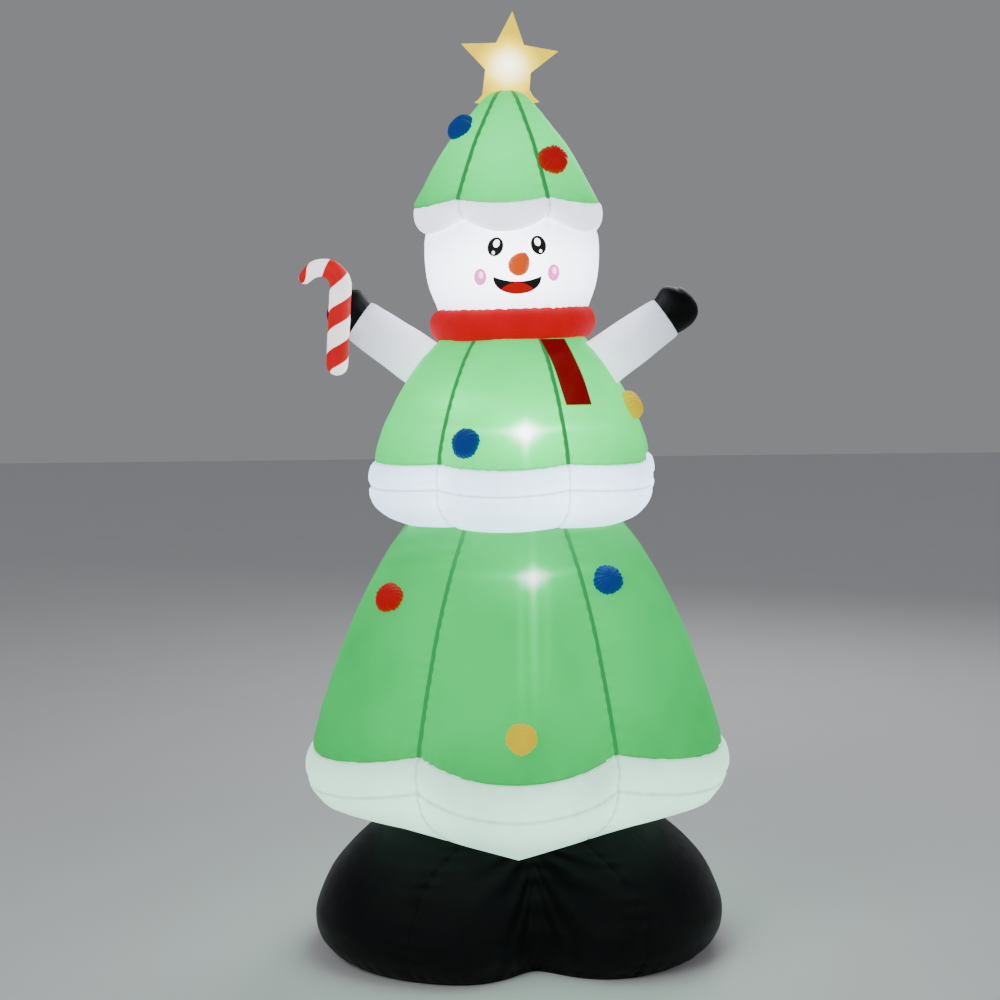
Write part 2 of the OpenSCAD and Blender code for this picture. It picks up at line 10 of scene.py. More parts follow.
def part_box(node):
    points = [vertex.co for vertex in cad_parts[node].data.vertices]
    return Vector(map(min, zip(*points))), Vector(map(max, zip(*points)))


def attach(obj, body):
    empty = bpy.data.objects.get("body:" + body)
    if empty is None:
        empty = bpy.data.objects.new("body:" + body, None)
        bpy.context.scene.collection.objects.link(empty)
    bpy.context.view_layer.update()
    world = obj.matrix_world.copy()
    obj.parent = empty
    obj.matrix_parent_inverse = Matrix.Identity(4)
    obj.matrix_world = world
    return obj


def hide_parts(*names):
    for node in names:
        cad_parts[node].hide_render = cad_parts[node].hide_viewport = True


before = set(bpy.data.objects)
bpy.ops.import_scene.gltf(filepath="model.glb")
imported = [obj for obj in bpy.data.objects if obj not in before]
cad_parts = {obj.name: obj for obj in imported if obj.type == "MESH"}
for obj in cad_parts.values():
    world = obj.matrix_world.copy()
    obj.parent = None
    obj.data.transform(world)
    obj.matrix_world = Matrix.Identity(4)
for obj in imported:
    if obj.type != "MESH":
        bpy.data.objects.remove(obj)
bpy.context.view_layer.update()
TAU = 2 * math.pi

# ---------------------------------------------------------------- camera

CAMERA_AT = Vector((0.0, -4.5, 1.73))
CAMERA_PITCH = math.radians(6.75)
CAMERA_ROLL = math.radians(0.65)
CAMERA_LENS = 61.99


def make_camera():
    camera = bpy.data.objects.new("camera", bpy.data.cameras.new("camera"))
    bpy.context.collection.objects.link(camera)
    camera.data.lens = CAMERA_LENS
    camera.data.sensor_width = 36
    camera.data.shift_x = -0.0146
    turn = Euler((math.pi / 2 - CAMERA_PITCH, 0, 0)).to_matrix().to_4x4()
    camera.matrix_world = (Matrix.Translation(CAMERA_AT) @ turn
                           @ Matrix.Rotation(-CAMERA_ROLL, 4, "Z"))
    bpy.context.scene.camera = camera


# ---------------------------------------------------------------- design sizes, metres

GORES = 6
PITCH = TAU / GORES
LOBE = 0.16
# Each row of a tier is (radius at mid panel, height at a seam); a band's rows add how far
# the cloth hangs at mid panel and how far it dips at the middle of the front and back.
SKIRT = dict(
    rows=[(0.290, 1.158), (0.300, 1.146), (0.375, 1.050), (0.450, 0.925), (0.510, 0.790),
          (0.560, 0.660), (0.571, 0.619)],
    turn=0.0, lobe=LOBE, hang=0.030)
COAT = dict(
    rows=[(0.172, 1.648), (0.196, 1.622), (0.245, 1.575), (0.300, 1.500),
          (0.342, 1.425), (0.370, 1.360), (0.380, 1.318)],
    turn=math.radians(-5.5), lobe=LOBE, hang=0.006)
HAT = dict(
    rows=[(0.004, 2.2520), (0.034, 2.2490), (0.060, 2.2330), (0.082, 2.2100), (0.122, 2.165),
          (0.166, 2.112), (0.220, 2.030), (0.250, 1.980), (0.253, 1.968)],
    turn=math.radians(-3.5), lobe=LOBE * 0.8, hang=0.016)
SKIRT_TRIM = dict(
    rows=[(0.571, 0.619, 0.030, 0), (0.583, 0.604, 0.030, 0), (0.589, 0.582, 0.030, 0),
          (0.589, 0.562, 0.030, 0), (0.583, 0.547, 0.030, 0), (0.585, 0.532, 0.028, 0.002),
          (0.574, 0.506, 0.022, 0.005), (0.545, 0.466, 0.013, 0.012), (0.480, 0.424, 0.005, 0.024),
          (0.414, 0.396, 0, 0.035), (0.404, 0.390, 0, 0.034), (0.330, 0.388, 0, 0.018),
          (0.180, 0.386, 0, 0)],
    turn=0.0, lobe=LOBE, points_at=0.035)
COAT_TRIM = dict(
    rows=[(0.380, 1.318, 0.006, 0), (0.389, 1.307, 0.006, 0), (0.394, 1.290, 0.006, 0),
          (0.395, 1.272, 0.006, 0), (0.390, 1.257, 0.006, 0), (0.394, 1.245, 0.006, 0),
          (0.392, 1.228, 0.005, 0), (0.380, 1.203, 0.003, 0), (0.354, 1.177, 0.001, 0),
          (0.322, 1.160, 0, 0), (0.300, 1.152, 0, 0)],
    turn=COAT["turn"], lobe=LOBE, points_at=0.035)
BRIM = dict(
    rows=[(0.250, 1.974, 0.015, 0), (0.256, 1.966, 0.016, 0), (0.2575, 1.953, 0.019, 0),
          (0.254, 1.939, 0.025, 0), (0.244, 1.928, 0.030, 0), (0.230, 1.9215, 0.033, 0),
          (0.216, 1.921, 0.031, 0)],
    turn=HAT["turn"], lobe=HAT["lobe"], points_at=0.035)
HEAD_ROWS = [(0.176, 1.650), (0.197, 1.704), (0.218, 1.766), (0.225, 1.836), (0.219, 1.896),
             (0.188, 1.932)]
HAT_SHIFT = Matrix.Translation((-0.009, 0, 0))
FACE_TURN = math.radians(4)
ARM_RISE = math.radians(35)
SHOULDER = Vector((0.246, 0, 1.566))
SLEEVE_LEN = 0.184
CANE_AT = Vector((-0.449, -0.094, 1.562))
CANE_LEAN = math.radians(4)
ROW_COUNT = 120


# ---------------------------------------------------------------- number helpers

def spline(points, count):
    """count points along a smooth curve through the given ones, evenly spaced in length.

    The first two numbers of a point are its place; the rest follow along."""
    p = np.array(points, float)
    p = np.vstack([2 * p[0] - p[1], p, 2 * p[-1] - p[-2]])
    out = []
    for k in range(1, len(p) - 2):
        a, b, c, d = p[k - 1:k + 3]
        for t in np.linspace(0, 1, 24, endpoint=False):
            out.append(0.5 * (2 * b + (c - a) * t + (2 * a - 5 * b + 4 * c - d) * t ** 2
                              + (3 * b - a - 3 * c + d) * t ** 3))
    out = np.array(out + [p[-2]])
    walk = walked(out[:, :2])
    want = np.linspace(0, walk[-1], count)
    return np.stack([np.interp(want, walk, out[:, i]) for i in range(out.shape[1])], axis=1)


def walked(points):
    """The length walked from the first point to each one."""
    return np.concatenate([[0], np.cumsum(np.linalg.norm(np.diff(points, axis=0), axis=1))])


def ripple(x, y, seed, size):
    """A smooth wandering value from -1 to 1, the same every run."""
    total = 0
    for k in range(1, 5):
        a = seed * 1.7 + k * 2.4
        total = total + np.sin(TAU * (x * math.cos(a) + y * math.sin(a)) / (size * (0.6 + 0.3 * k)) + a * 3)
    return total / 4


def round_row(cols):
    """Directions round a ring, as one row."""
    return np.linspace(0, TAU, cols, endpoint=False)[None, :]


def turned(radius, a, h):
    """Points of a form turned about its own +Z axis."""
    return np.stack(np.broadcast_arrays(radius * np.cos(a), radius * np.sin(a), h), axis=-1)


def gather(along, seed, size):
    """Folds along a gathered seam, from 0 to 1, uneven in width."""
    drift = 0.8 * np.sin(TAU * along / (size * 7.3) + seed)
    drift = drift + 0.6 * np.sin(TAU * along / (size * 3.1) + 2 * seed)
    return 0.5 + 0.5 * np.sin(TAU * along / size + 1.6 * drift + seed * 5)


# ---------------------------------------------------------------- mesh helpers

def add_object(name, mesh, material=None, smooth=True):
    obj = bpy.data.objects.new(name, mesh)
    bpy.context.collection.objects.link(obj)
    if material:
        mesh.materials.append(material)
    if smooth:
        mesh.polygons.foreach_set("use_smooth", [True] * len(mesh.polygons))
    return obj


def grid_object(name, points, material, closed=True, uv=None, flip=False, caps=(False, False), shade=None):
    """A surface from rows of points; closed joins each row's end to its start.

    shade says, point by point, how much the cloth is darkened there."""
    rows, cols = points.shape[:2]
    span = cols if closed else cols - 1
    verts = [tuple(v) for v in points.reshape(-1, 3)]
    faces, loops = [], []
    if uv is None:
        across = np.linalg.norm(np.diff(points, axis=1), axis=2)
        across = np.concatenate([np.zeros((rows, 1)), np.cumsum(across, axis=1)], axis=1)
        down = np.linalg.norm(np.diff(points, axis=0), axis=2)
        down = np.concatenate([np.zeros((1, cols)), np.cumsum(down, axis=0)], axis=0)
        uv = np.stack([across, down], axis=2)
    last = uv[:, -1:] + np.array([uv[0, 1, 0] - uv[0, 0, 0], 0])
    uv = np.concatenate([uv, last], axis=1)
    for i in range(rows - 1):
        for j in range(span):
            k = (j + 1) % cols
            quad = [(i, j, j), (i + 1, j, j), (i + 1, k, j + 1), (i, k, j + 1)]
            if flip:
                quad.reverse()
            faces.append([r * cols + c for r, c, _ in quad])
            loops += [uv[r, u] for r, _, u in quad]
    for cap, row in zip(caps, (0, rows - 1)):
        if cap:
            ring = [row * cols + j for j in range(cols)]
            faces.append(ring if (row == 0) != flip else ring[::-1])
            loops += [uv[row, j] for j in (range(cols) if (row == 0) != flip else range(cols - 1, -1, -1))]
    mesh = bpy.data.meshes.new(name)
    mesh.from_pydata(verts, [], faces)
    layer = mesh.uv_layers.new(name="cloth")
    layer.data.foreach_set("uv", np.array(loops, float).ravel())
    if shade is not None:
        layer = mesh.attributes.new("shade", "FLOAT", "POINT")
        layer.data.foreach_set("value", np.clip(shade, 0, 1).astype(np.float32).ravel())
    mesh.validate()
    return add_object(name, mesh, material)


def join(name, objects):
    """Joins mesh objects into the first one."""
    target = bpy.data.meshes.new(name)
    bm = bmesh.new()
    materials = []
    for obj in objects:
        start = len(bm.faces)
        bm.from_mesh(obj.data)
        bm.faces.ensure_lookup_table()
        slots = list(obj.data.materials)
        for m in slots:
            if m not in materials:
                materials.append(m)
        for face in bm.faces[start:]:
            face.material_index = materials.index(slots[face.material_index])
    bm.to_mesh(target)
    bm.free()
    for m in materials:
        target.materials.append(m)
    for obj in objects:
        bpy.data.objects.remove(obj)
    return add_object(name, target)


def place(obj, matrix):
    obj.data.transform(matrix)
    return obj


def modify(obj, kind, **settings):
    """Adds a modifier and applies it."""
    mod = obj.modifiers.new(kind.lower(), kind)
    for key, value in settings.items():
        setattr(mod, key, value)
    bpy.context.view_layer.update()
    shaped = bpy.data.meshes.new_from_object(obj.evaluated_get(bpy.context.evaluated_depsgraph_get()))
    obj.modifiers.clear()
    obj.data = shaped
    return obj


def tube(name, path, radius, material, sides, frame_up, twist):
    """A capped tube swept along a path, with a radius and a turn of its UV for each point."""
    tangent = np.gradient(path, axis=0)
    tangent /= np.linalg.norm(tangent, axis=1)[:, None]
    up = np.array(frame_up, float)
    a = np.linspace(-math.pi, math.pi, sides, endpoint=False)
    rings = []
    for p, t, r in zip(path, tangent, radius):
        u = np.cross(up, t)
        u /= np.linalg.norm(u)
        up = np.cross(t, u)
        rings.append(p + (r * np.cos(a))[:, None] * u + (r * np.sin(a))[:, None] * up)
    uv = np.stack([twist[:, None] * a * radius.max(), walked(path)[:, None] + 0 * a], axis=2)
    return grid_object(name, np.array(rings), material, uv=uv, caps=(True, True), flip=True)


def finish_piece(obj, slot, *nodes, body="figure", fill=None):
    """Rides and replaces its CAD nodes, which it hides; its slot and fill are not used."""
    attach(obj, body)
    if nodes:
        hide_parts(*nodes)
    return obj


# ---------------------------------------------------------------- materials

class Graph:
    """A short way to write a material's nodes."""

    def __init__(self, name, roughness=0.5, **shader):
        self.material = bpy.data.materials.new(name)
        self.material.use_nodes = True
        self.tree = self.material.node_tree
        self.shader = self.tree.nodes["Principled BSDF"]
        self.shader.inputs["Roughness"].default_value = roughness
        for key, value in shader.items():
            self.shader.inputs[key.replace("_", " ")].default_value = value
        self.coords = self.tree.nodes.new("ShaderNodeTexCoord")

    def node(self, kind, inputs=None, **settings):
        new = self.tree.nodes.new("ShaderNode" + kind)
        for key, value in settings.items():
            setattr(new, key, value)
        for key, value in (inputs or {}).items():
            self.feed(new.inputs[key], value)
        return new

    def feed(self, socket, value):
        if isinstance(value, bpy.types.NodeSocket):
            self.tree.links.new(value, socket)
        else:
            socket.default_value = value

    def math(self, operation, *values):
        return self.node("Math", dict(enumerate(values)), operation=operation).outputs[0]

    def vector(self, operation, *values):
        new = self.node("VectorMath", dict(enumerate(values)), operation=operation)
        return new.outputs["Value" if operation in ("LENGTH", "DISTANCE") else "Vector"]

    def noise(self, scale, detail=3.0, where="Object", roughness=0.5):
        inputs = {"Vector": self.coords.outputs[where], "Scale": scale, "Detail": detail,
                  "Roughness": roughness}
        return self.node("TexNoise", inputs).outputs["Fac"]

    def ramp(self, value, *stops):
        new = self.node("ValToRGB", {0: value})
        elements = new.color_ramp.elements
        while len(elements) < len(stops):
            elements.new(0.5)
        for element, (at, colour) in zip(elements, stops):
            element.position = at
            element.color = colour if len(colour) == 4 else (*colour, 1)
        return new.outputs["Color"]

    def mix(self, factor, a, b):
        new = self.node("Mix", data_type="RGBA")
        self.feed(new.inputs[0], factor)
        self.feed(new.inputs[6], a if isinstance(a, bpy.types.NodeSocket) else (*a, 1))
        self.feed(new.inputs[7], b if isinstance(b, bpy.types.NodeSocket) else (*b, 1))
        return new.outputs[2]

    def set(self, socket, value):
        self.feed(self.shader.inputs[socket], value)

    def weave(self, threads=0.0009, ripstop=0.006, depth=0.00012):
        """Plain weave with a ripstop grid, in metres along the cloth."""
        cloth = self.coords.outputs["UV"]
        heights = []
        for axis in range(2):
            for size, weight in ((threads, 0.6), (ripstop, 1.0)):
                x = self.node("SeparateXYZ", {0: cloth}).outputs[axis]
                wave = self.math("SINE", self.math("MULTIPLY", x, TAU / size))
                if size == ripstop:
                    wave = self.math("POWER", self.math("ABSOLUTE", wave), 24)
                heights.append(self.math("MULTIPLY", wave, weight))
        total = heights[0]
        for h in heights[1:]:
            total = self.math("ADD", total, h)
        soft = self.math("MULTIPLY", self.noise(38, 4), 5.0)
        total = self.math("ADD", total, soft)
        return self.node("Bump", {"Height": total, "Distance": depth, "Strength": 0.55}).outputs["Normal"]


def glow_field(g, glows):
    """The sum of soft spots of light: each is (centre, size along each axis, weight)."""
    total = None
    for centre, size, weight in glows:
        offset = g.vector("SUBTRACT", g.coords.outputs["Object"], tuple(centre))
        reach = g.vector("LENGTH", g.vector("DIVIDE", offset, tuple(size)))
        fall = g.math("EXPONENT", g.math("MULTIPLY", g.math("MULTIPLY", reach, reach), -1.0))
        part = g.math("MULTIPLY", fall, weight)
        total = part if total is None else g.math("ADD", total, part)
    return total


def lit_cloth(name, base, deep, bright, strength, glows, hot=(1, 1, 1), least=0.3):
    """Thin coated cloth with light behind it: deep where it is dim, hot right in front of a lamp.

    The mesh's own shade darkens it along its seams, where the cloth is doubled and puckered."""
    g = Graph(name, 0.5, Specular_IOR_Level=0.15)
    field = glow_field(g, glows)
    mottle = g.math("MULTIPLY", g.math("SUBTRACT", g.noise(5.5, 4), 0.5), 0.22)
    field = g.math("ADD", field, mottle)
    colour = g.ramp(g.math("MULTIPLY", field, 0.6), (0.0, deep), (0.5, bright), (1.0, hot))
    shade = g.node("Attribute", attribute_name="shade").outputs["Fac"]
    clear = g.math("SUBTRACT", 1.0, g.math("MULTIPLY", shade, 0.6))
    power = g.math("MULTIPLY", g.math("MAXIMUM", field, least), strength)
    power = g.math("MULTIPLY", power, clear)
    g.set("Base Color", g.mix(g.noise(9, 3), base, tuple(0.88 * c for c in base)))
    g.set("Emission Color", colour)
    g.set("Emission Strength", power)
    g.set("Normal", g.weave())
    return g.material


def satin(name, base, dark, roughness=0.38, sheen=0.0, emission=None, size=14, specular=0.18):
    """Satin polyester with a soft change of tone at random; any emission given is a painted glow of lamp
    light through it.
    """
    g = Graph(name, roughness, Sheen_Weight=sheen, Specular_IOR_Level=specular)
    g.set("Base Color", g.mix(g.noise(size, 4), base, dark))
    g.set("Roughness", g.math("ADD", g.math("MULTIPLY", g.noise(40, 3), 0.2), roughness - 0.1))
    if emission:
        g.shader.inputs["Emission Color"].default_value = (*emission[:3], 1)
        g.shader.inputs["Emission Strength"].default_value = emission[3]
    g.set("Normal", g.weave())
    return g.material


def plastic(name, base, roughness=0.45, grain=900, depth=0.00008):
    g = Graph(name, roughness)
    g.set("Base Color", g.mix(g.noise(25, 3), base, tuple(min(1, c * 1.35 + 0.004) for c in base)))
    g.set("Roughness", g.math("ADD", g.math("MULTIPLY", g.noise(60, 4), 0.16), roughness - 0.08))
    g.set("Normal", g.node("Bump", {"Height": g.noise(grain, 2), "Distance": depth,
                                    "Strength": 0.5}).outputs["Normal"])
    return g.material


def metal(name, base, roughness=0.3, brushed=(1, 1, 30)):
    g = Graph(name, roughness, Metallic=1.0)
    stretched = g.vector("MULTIPLY", g.coords.outputs["Object"], brushed)
    lines = g.node("TexNoise", {"Vector": stretched, "Scale": 60.0, "Detail": 4.0}).outputs["Fac"]
    g.set("Base Color", g.mix(g.noise(30, 3), base, tuple(0.75 * c for c in base)))
    g.set("Roughness", g.math("ADD", g.math("MULTIPLY", lines, 0.25), roughness - 0.1))
    return g.material


def webbing(name, base):
    """Ribbed webbing: ribs run along the strap, crossed by fine threads."""
    g = Graph(name, 0.65, Sheen_Weight=0.25)
    split = g.node("SeparateXYZ", {0: g.coords.outputs["UV"]})
    ribs = g.math("SINE", g.math("MULTIPLY", split.outputs[0], TAU / 0.0022))
    cross = g.math("SINE", g.math("MULTIPLY", split.outputs[1], TAU / 0.0011))
    height = g.math("ADD", ribs, g.math("MULTIPLY", cross, 0.6))
    shade = g.math("ADD", g.math("MULTIPLY", height, 0.2), 0.5)
    g.set("Base Color", g.mix(shade, tuple(0.6 * c for c in base), base))
    g.set("Normal", g.node("Bump", {"Height": height, "Distance": 0.0003,
                                    "Strength": 0.8}).outputs["Normal"])
    return g.material


def stripes(name, pitch, girth, start):
    """Red and white stripes wound up a tube whose UV is (round, along) in metres."""
    g = Graph(name, 0.45, Specular_IOR_Level=0.25)
    split = g.node("SeparateXYZ", {0: g.coords.outputs["UV"]})
    turn = g.math("DIVIDE", split.outputs[0], girth)
    rise = g.math("DIVIDE", split.outputs[1], pitch)
    wobble = g.math("MULTIPLY", g.math("SUBTRACT", g.noise(18, 2), 0.5), 0.05)
    phase = g.math("FRACT", g.math("ADD", g.math("SUBTRACT", rise, turn), g.math("ADD", wobble, start)))
    off, on = (0, 0, 0), (1, 1, 1)
    red = g.ramp(phase, (0.0, off), (0.49, off), (0.51, on), (0.985, on), (1.0, off))
    glow = g.math("ADD", g.math("MULTIPLY", g.noise(9, 2), 0.7), 0.65)
    g.set("Base Color", g.mix(red, (0.88, 0.85, 0.88), (0.40, 0.0, 0.004)))
    g.set("Emission Color", g.mix(red, (1.0, 0.84, 0.93), (0.36, 0.0, 0.002)))
    g.set("Emission Strength", g.math("MULTIPLY", glow, 1.5))
    g.set("Normal", g.weave())
    return g.material


# Where the two brightest lamps show through the front cloth.
SPOT_SKIRT = (0.043, -0.41, 1.050)
SPOT_COAT = (0.028, -0.35, 1.402)


def behind(spot):
    return (spot[0] * -0.3, -spot[1], spot[2] - 0.02)


def hot_spots(spot, streak):
    """A small bright core with a cross of light, at the front and, dimmer, at the back."""
    x, y, z = spot
    return [
        (spot, (0.030, 0.25, 0.022), 0.75),
        (spot, (0.080, 0.25, 0.055), 0.30),
        ((x, y, z + 0.004), (0.16, 0.25, 0.010), 0.22),
        ((x, y, z - streak * 0.4), (0.011, 0.3, streak), 0.28),
        (behind(spot), (0.07, 0.20, 0.05), 0.35)]


LIT_GREEN = dict(base=(0.002, 0.30, 0.06), deep=(0.0, 1.0, 0.125), bright=(0.0, 1.0, 0.20),
                 hot=(0.9, 1.0, 0.94))
LIT_WHITE = dict(hot=(0.96, 0.98, 1.0))


def make_materials():
    green_skirt = lit_cloth(
        "skirt_cloth", **LIT_GREEN, strength=1.6, glows=[
            ((0.02, -0.1, 0.98), (0.42, 0.55, 0.34), 0.34), ((0.0, 0.0, 0.66), (0.75, 0.9, 0.5), 0.50),
            ((0.012, -0.48, 0.93), (0.010, 0.3, 0.16), 0.13),
            ((0.075, -0.48, 0.95), (0.012, 0.3, 0.13), 0.12)]
        + hot_spots(SPOT_SKIRT, 0.17))
    green_coat = lit_cloth(
        "coat_cloth", **LIT_GREEN, strength=3.6, glows=[
            ((0.02, -0.1, 1.40), (0.36, 0.5, 0.22), 0.50), ((0.0, 0.0, 1.40), (0.6, 0.6, 0.4), 0.26),
            ((-0.12, -0.28, 1.47), (0.10, 0.3, 0.03), 0.14)]
        + hot_spots(SPOT_COAT, 0.05))
    green_hat = lit_cloth(
        "hat_cloth", **LIT_GREEN, strength=2.9, glows=[
            ((0.0, -0.1, 2.07), (0.24, 0.4, 0.2), 0.50), ((0.0, 0.0, 2.05), (0.5, 0.5, 0.4), 0.24)])
    return dict(
        green_skirt=green_skirt, green_coat=green_coat, green_hat=green_hat,
        # The seam strips' darker green and weak emission are painted shade: doubled cloth that lets less
        # lamp light through.
        seam=satin("seam_shade_cloth", (0.015, 0.20, 0.05), (0.01, 0.14, 0.035), emission=(0.02, 0.42, 0.10, 0.7)),
        white_skirt=lit_cloth(
            "skirt_trim_cloth", (0.70, 0.80, 0.75), (0.44, 1.0, 0.68), (0.60, 1.0, 0.80), 4.4, [
                ((0.0, 0.0, 0.50), (0.9, 0.9, 0.16), 0.62)], **LIT_WHITE),
        white_coat=lit_cloth(
            "coat_trim_cloth", (0.80, 0.84, 0.90), (0.50, 0.72, 1.0), (0.64, 0.84, 1.0), 8.0, [
                ((0.03, 0.0, 1.25), (0.5, 0.6, 0.14), 0.72)], **LIT_WHITE),
        white_head=lit_cloth(
            "head_cloth", (0.84, 0.86, 0.90), (0.70, 0.76, 1.0), (0.84, 0.88, 1.0), 9.0, [
                ((0.0, -0.1, 1.80), (0.30, 0.4, 0.16), 0.85)], **LIT_WHITE),
        white_brim=lit_cloth(
            "brim_cloth", (0.84, 0.86, 0.90), (0.62, 0.68, 0.84), (0.84, 0.89, 1.0), 4.6, [
                ((0.0, 0.0, 1.93), (0.4, 0.4, 0.1), 0.75)], **LIT_WHITE),
        white_sleeve=lit_cloth(
            "sleeve_cloth", (0.76, 0.79, 0.86), (0.46, 0.50, 0.72), (0.80, 0.84, 0.98), 2.3, [
                ((0.0, 0.0, 1.55), (0.34, 0.5, 0.24), 1.0), ((0.0, 0.0, 1.6), (0.6, 0.5, 0.4), 0.3)],
            **LIT_WHITE),
        star=lit_cloth(
            "star_cloth", (0.75, 0.50, 0.0), (1.0, 0.68, 0.0), (1.0, 0.74, 0.03), 3.0, [
                ((-0.003, 0.0, 2.310), (0.062, 0.5, 0.058), 1.3),
                ((-0.003, 0.0, 2.310), (0.20, 0.5, 0.20), 0.35)],
            hot=(1.0, 0.93, 0.74), least=0.45),
        # Where a satin piece below is given emission, it is a painted glow of lamp light showing through the
        # cloth.
        red=satin("scarf_cloth", (0.42, 0.0, 0.006), (0.16, 0.0, 0.002), 0.65,
                  emission=(1.0, 0.0, 0.012, 0.60), specular=0.05),
        # The scarf's end is the scarf's red with painted shade: darker, with a weaker glow, as less lamp
        # light reaches this second layer.
        shaded_red=satin("scarf_end_cloth", (0.12, 0.0, 0.0), (0.08, 0.0, 0.0),
                       emission=(0.8, 0.0, 0.0, 0.22)),
        black=satin("black_cloth", (0.0015, 0.0015, 0.002), (0.004, 0.004, 0.005), 0.42, specular=0.10),
        sole=satin("sole_cloth", (0.02, 0.02, 0.022), (0.035, 0.035, 0.038), 0.7, 0.1),
        cane=stripes("cane_cloth", CANE_PITCH, TAU * CANE_R, 0.28),
        orange=satin("nose_cloth", (0.85, 0.13, 0.002), (0.70, 0.09, 0.002),
                     emission=(1.0, 0.10, 0.0, 0.62)),
        red_ball=satin("red_ornament_cloth", (0.26, 0.0, 0.002), (0.14, 0.0, 0.001), 0.36, 0.04,
                       (1.0, 0.0, 0.0, 0.38), 40),
        blue_ball=satin("blue_ornament_cloth", (0.0, 0.03, 0.22), (0.0, 0.02, 0.13), 0.36, 0.04,
                        (0.0, 0.12, 0.6, 0.25), 40),
        yellow_ball=satin("yellow_ornament_cloth", (0.70, 0.46, 0.0), (0.46, 0.32, 0.0), 0.36, 0.04,
                          (1.0, 0.74, 0.0, 0.56), 40),
        ink_black=satin("print_black", (0.012, 0.012, 0.014), (0.02, 0.02, 0.022), 0.5, 0.05),
        ink_white=satin("print_white", (0.92, 0.93, 0.95), (0.88, 0.89, 0.92), 0.5, 0.05,
                        (0.95, 0.97, 1, 4.0)),
        ink_pink=satin("print_pink", (0.90, 0.22, 0.60), (0.84, 0.18, 0.55), 0.5, 0.0,
                       (1.0, 0.14, 0.60, 2.2)),
        ink_pale_pink=satin("print_pale_pink", (0.95, 0.78, 0.88), (0.93, 0.74, 0.85), 0.5, 0.05,
                            (1, 0.70, 0.95, 3.2)),
        ink_red=satin("print_red", (0.50, 0.0, 0.004), (0.40, 0.0, 0.003), 0.5, 0.0,
                      (0.9, 0.0, 0.005, 0.42)),
        thread=satin("sewing_thread", (0.75, 0.80, 0.80), (0.6, 0.65, 0.66), 0.7, 0.1),
        green_strap=webbing("green_webbing", (0.02, 0.14, 0.06)),
        black_strap=webbing("black_webbing", (0.02, 0.02, 0.022)),
        zip_tape=webbing("zip_tape", (0.05, 0.30, 0.13)),
        housing=plastic("housing_plastic", (0.012, 0.012, 0.014)),
        ring=plastic("ring_plastic", (0.022, 0.022, 0.025), 0.5),
        impeller=plastic("impeller_plastic", (0.62, 0.64, 0.66), 0.3),
        lamp=plastic("lamp_plastic", (0.75, 0.76, 0.78), 0.4),
        lead=plastic("lead_jacket", (0.62, 0.63, 0.65), 0.5),
        tape=webbing("hanging_tape", (0.7, 0.7, 0.7)),
        steel=metal("zinc_steel", (0.70, 0.70, 0.72)),
        nickel=metal("nickel", (0.62, 0.61, 0.58), 0.22),
        motor=metal("motor_can", (0.45, 0.46, 0.48), 0.35))


# ---------------------------------------------------------------- tiers and trims

def gore_angles(tier, steps=44):
    """Directions round a tier, closer together near the seams, and each one's place in its panel."""
    t = 0.5 - 0.5 * np.cos(np.pi * np.arange(steps) / steps)
    places = np.tile(t, GORES)
    number = np.repeat(np.arange(GORES), steps)
    return tier["turn"] - PITCH / 2 + (number + places) * PITCH, places, number


def tier_radius(tier, r, places):
    return r * (1 - tier["lobe"] * (1 - np.sin(np.pi * places)))


def ring_points(radius, az, z):
    """Points at directions, radii and heights round the figure's axis."""
    return np.stack(np.broadcast_arrays(radius * np.sin(az), -radius * np.cos(az), z), axis=-1)


def on_tier(tier, az, z, lift=0.0):
    """A point on a tier at a direction and height, as one vector."""
    rows = spline(tier["rows"], ROW_COUNT)
    r = np.interp(-z, -rows[:, 1], rows[:, 0])
    place = ((az - tier["turn"]) / PITCH + 0.5) % 1
    return Vector(ring_points(tier_radius(tier, r, place) + lift, az, z))


def dip(az):
    """1 at the middle of the front and back, 0 from sixty degrees to each side."""
    return np.clip(1 - np.abs(az - np.pi * np.round(az / np.pi)) / PITCH, 0, 1)


def tier_surface(name, tier, material, rows=ROW_COUNT, pucker=0.0035, hems=(), seed=1.0):
    """A tier or band of six panels, with puckers along its seams and hems."""
    az, places, number = gore_angles(tier)
    profile = spline(tier["rows"], rows)
    r = profile[:, :1]
    down = walked(profile[:, :2])[:, None]
    share = down / down[-1]
    swell = tier_radius(tier, 1.0, places[None, :])
    if "hang" in tier:
        fall = tier["hang"] * share ** 3 * np.sin(np.pi * places)[None, :]
    else:
        # Towards its lower edge a band is drawn to points at mid panel.
        point = np.cos(PITCH / 2) / np.cos(PITCH / 2 - np.abs(places - 0.5) * PITCH)
        drawn = np.clip(profile[:, 3:4] / tier["points_at"], 0, 1)
        swell = swell * (1 - drawn) + point[None, :] * drawn
        fall = profile[:, 2:3] * np.sin(np.pi * places)[None, :] + profile[:, 3:4] * dip(az)[None, :]
    radius = r * swell
    edge = np.minimum(places, 1 - places)[None, :] * PITCH * r
    seam = number + (places > 0.5)
    folds = gather(down + 0 * edge + 0.013 * seam[None, :], seed, 0.034)
    radius = radius - pucker * np.exp(-edge / 0.020) * folds - 0.5 * pucker * np.exp(-edge / 0.006)
    shade = 0.7 * np.exp(-(edge / 0.0045) ** 2) + 0.30 * np.exp(-edge / 0.022) * folds ** 2
    around = az[None, :] * r
    radius = radius + 0.0022 * ripple(around, down, seed, 0.19) * np.minimum(1, edge / 0.05)
    for at in hems:
        near = np.abs(down - down[-1] * at)
        folds = gather(around, seed + at, 0.031)
        radius = radius - pucker * 1.1 * np.exp(-near / 0.011) * folds - 0.8 * pucker * np.exp(-near / 0.004)
        shade = shade + 0.8 * np.exp(-(near / 0.0035) ** 2) + 0.30 * np.exp(-near / 0.016) * folds ** 2
    points = ring_points(radius, az[None, :], profile[:, 1:2] - fall)
    if tier is SKIRT:
        lay_flat(points)
    return grid_object(name, points, material, shade=shade)


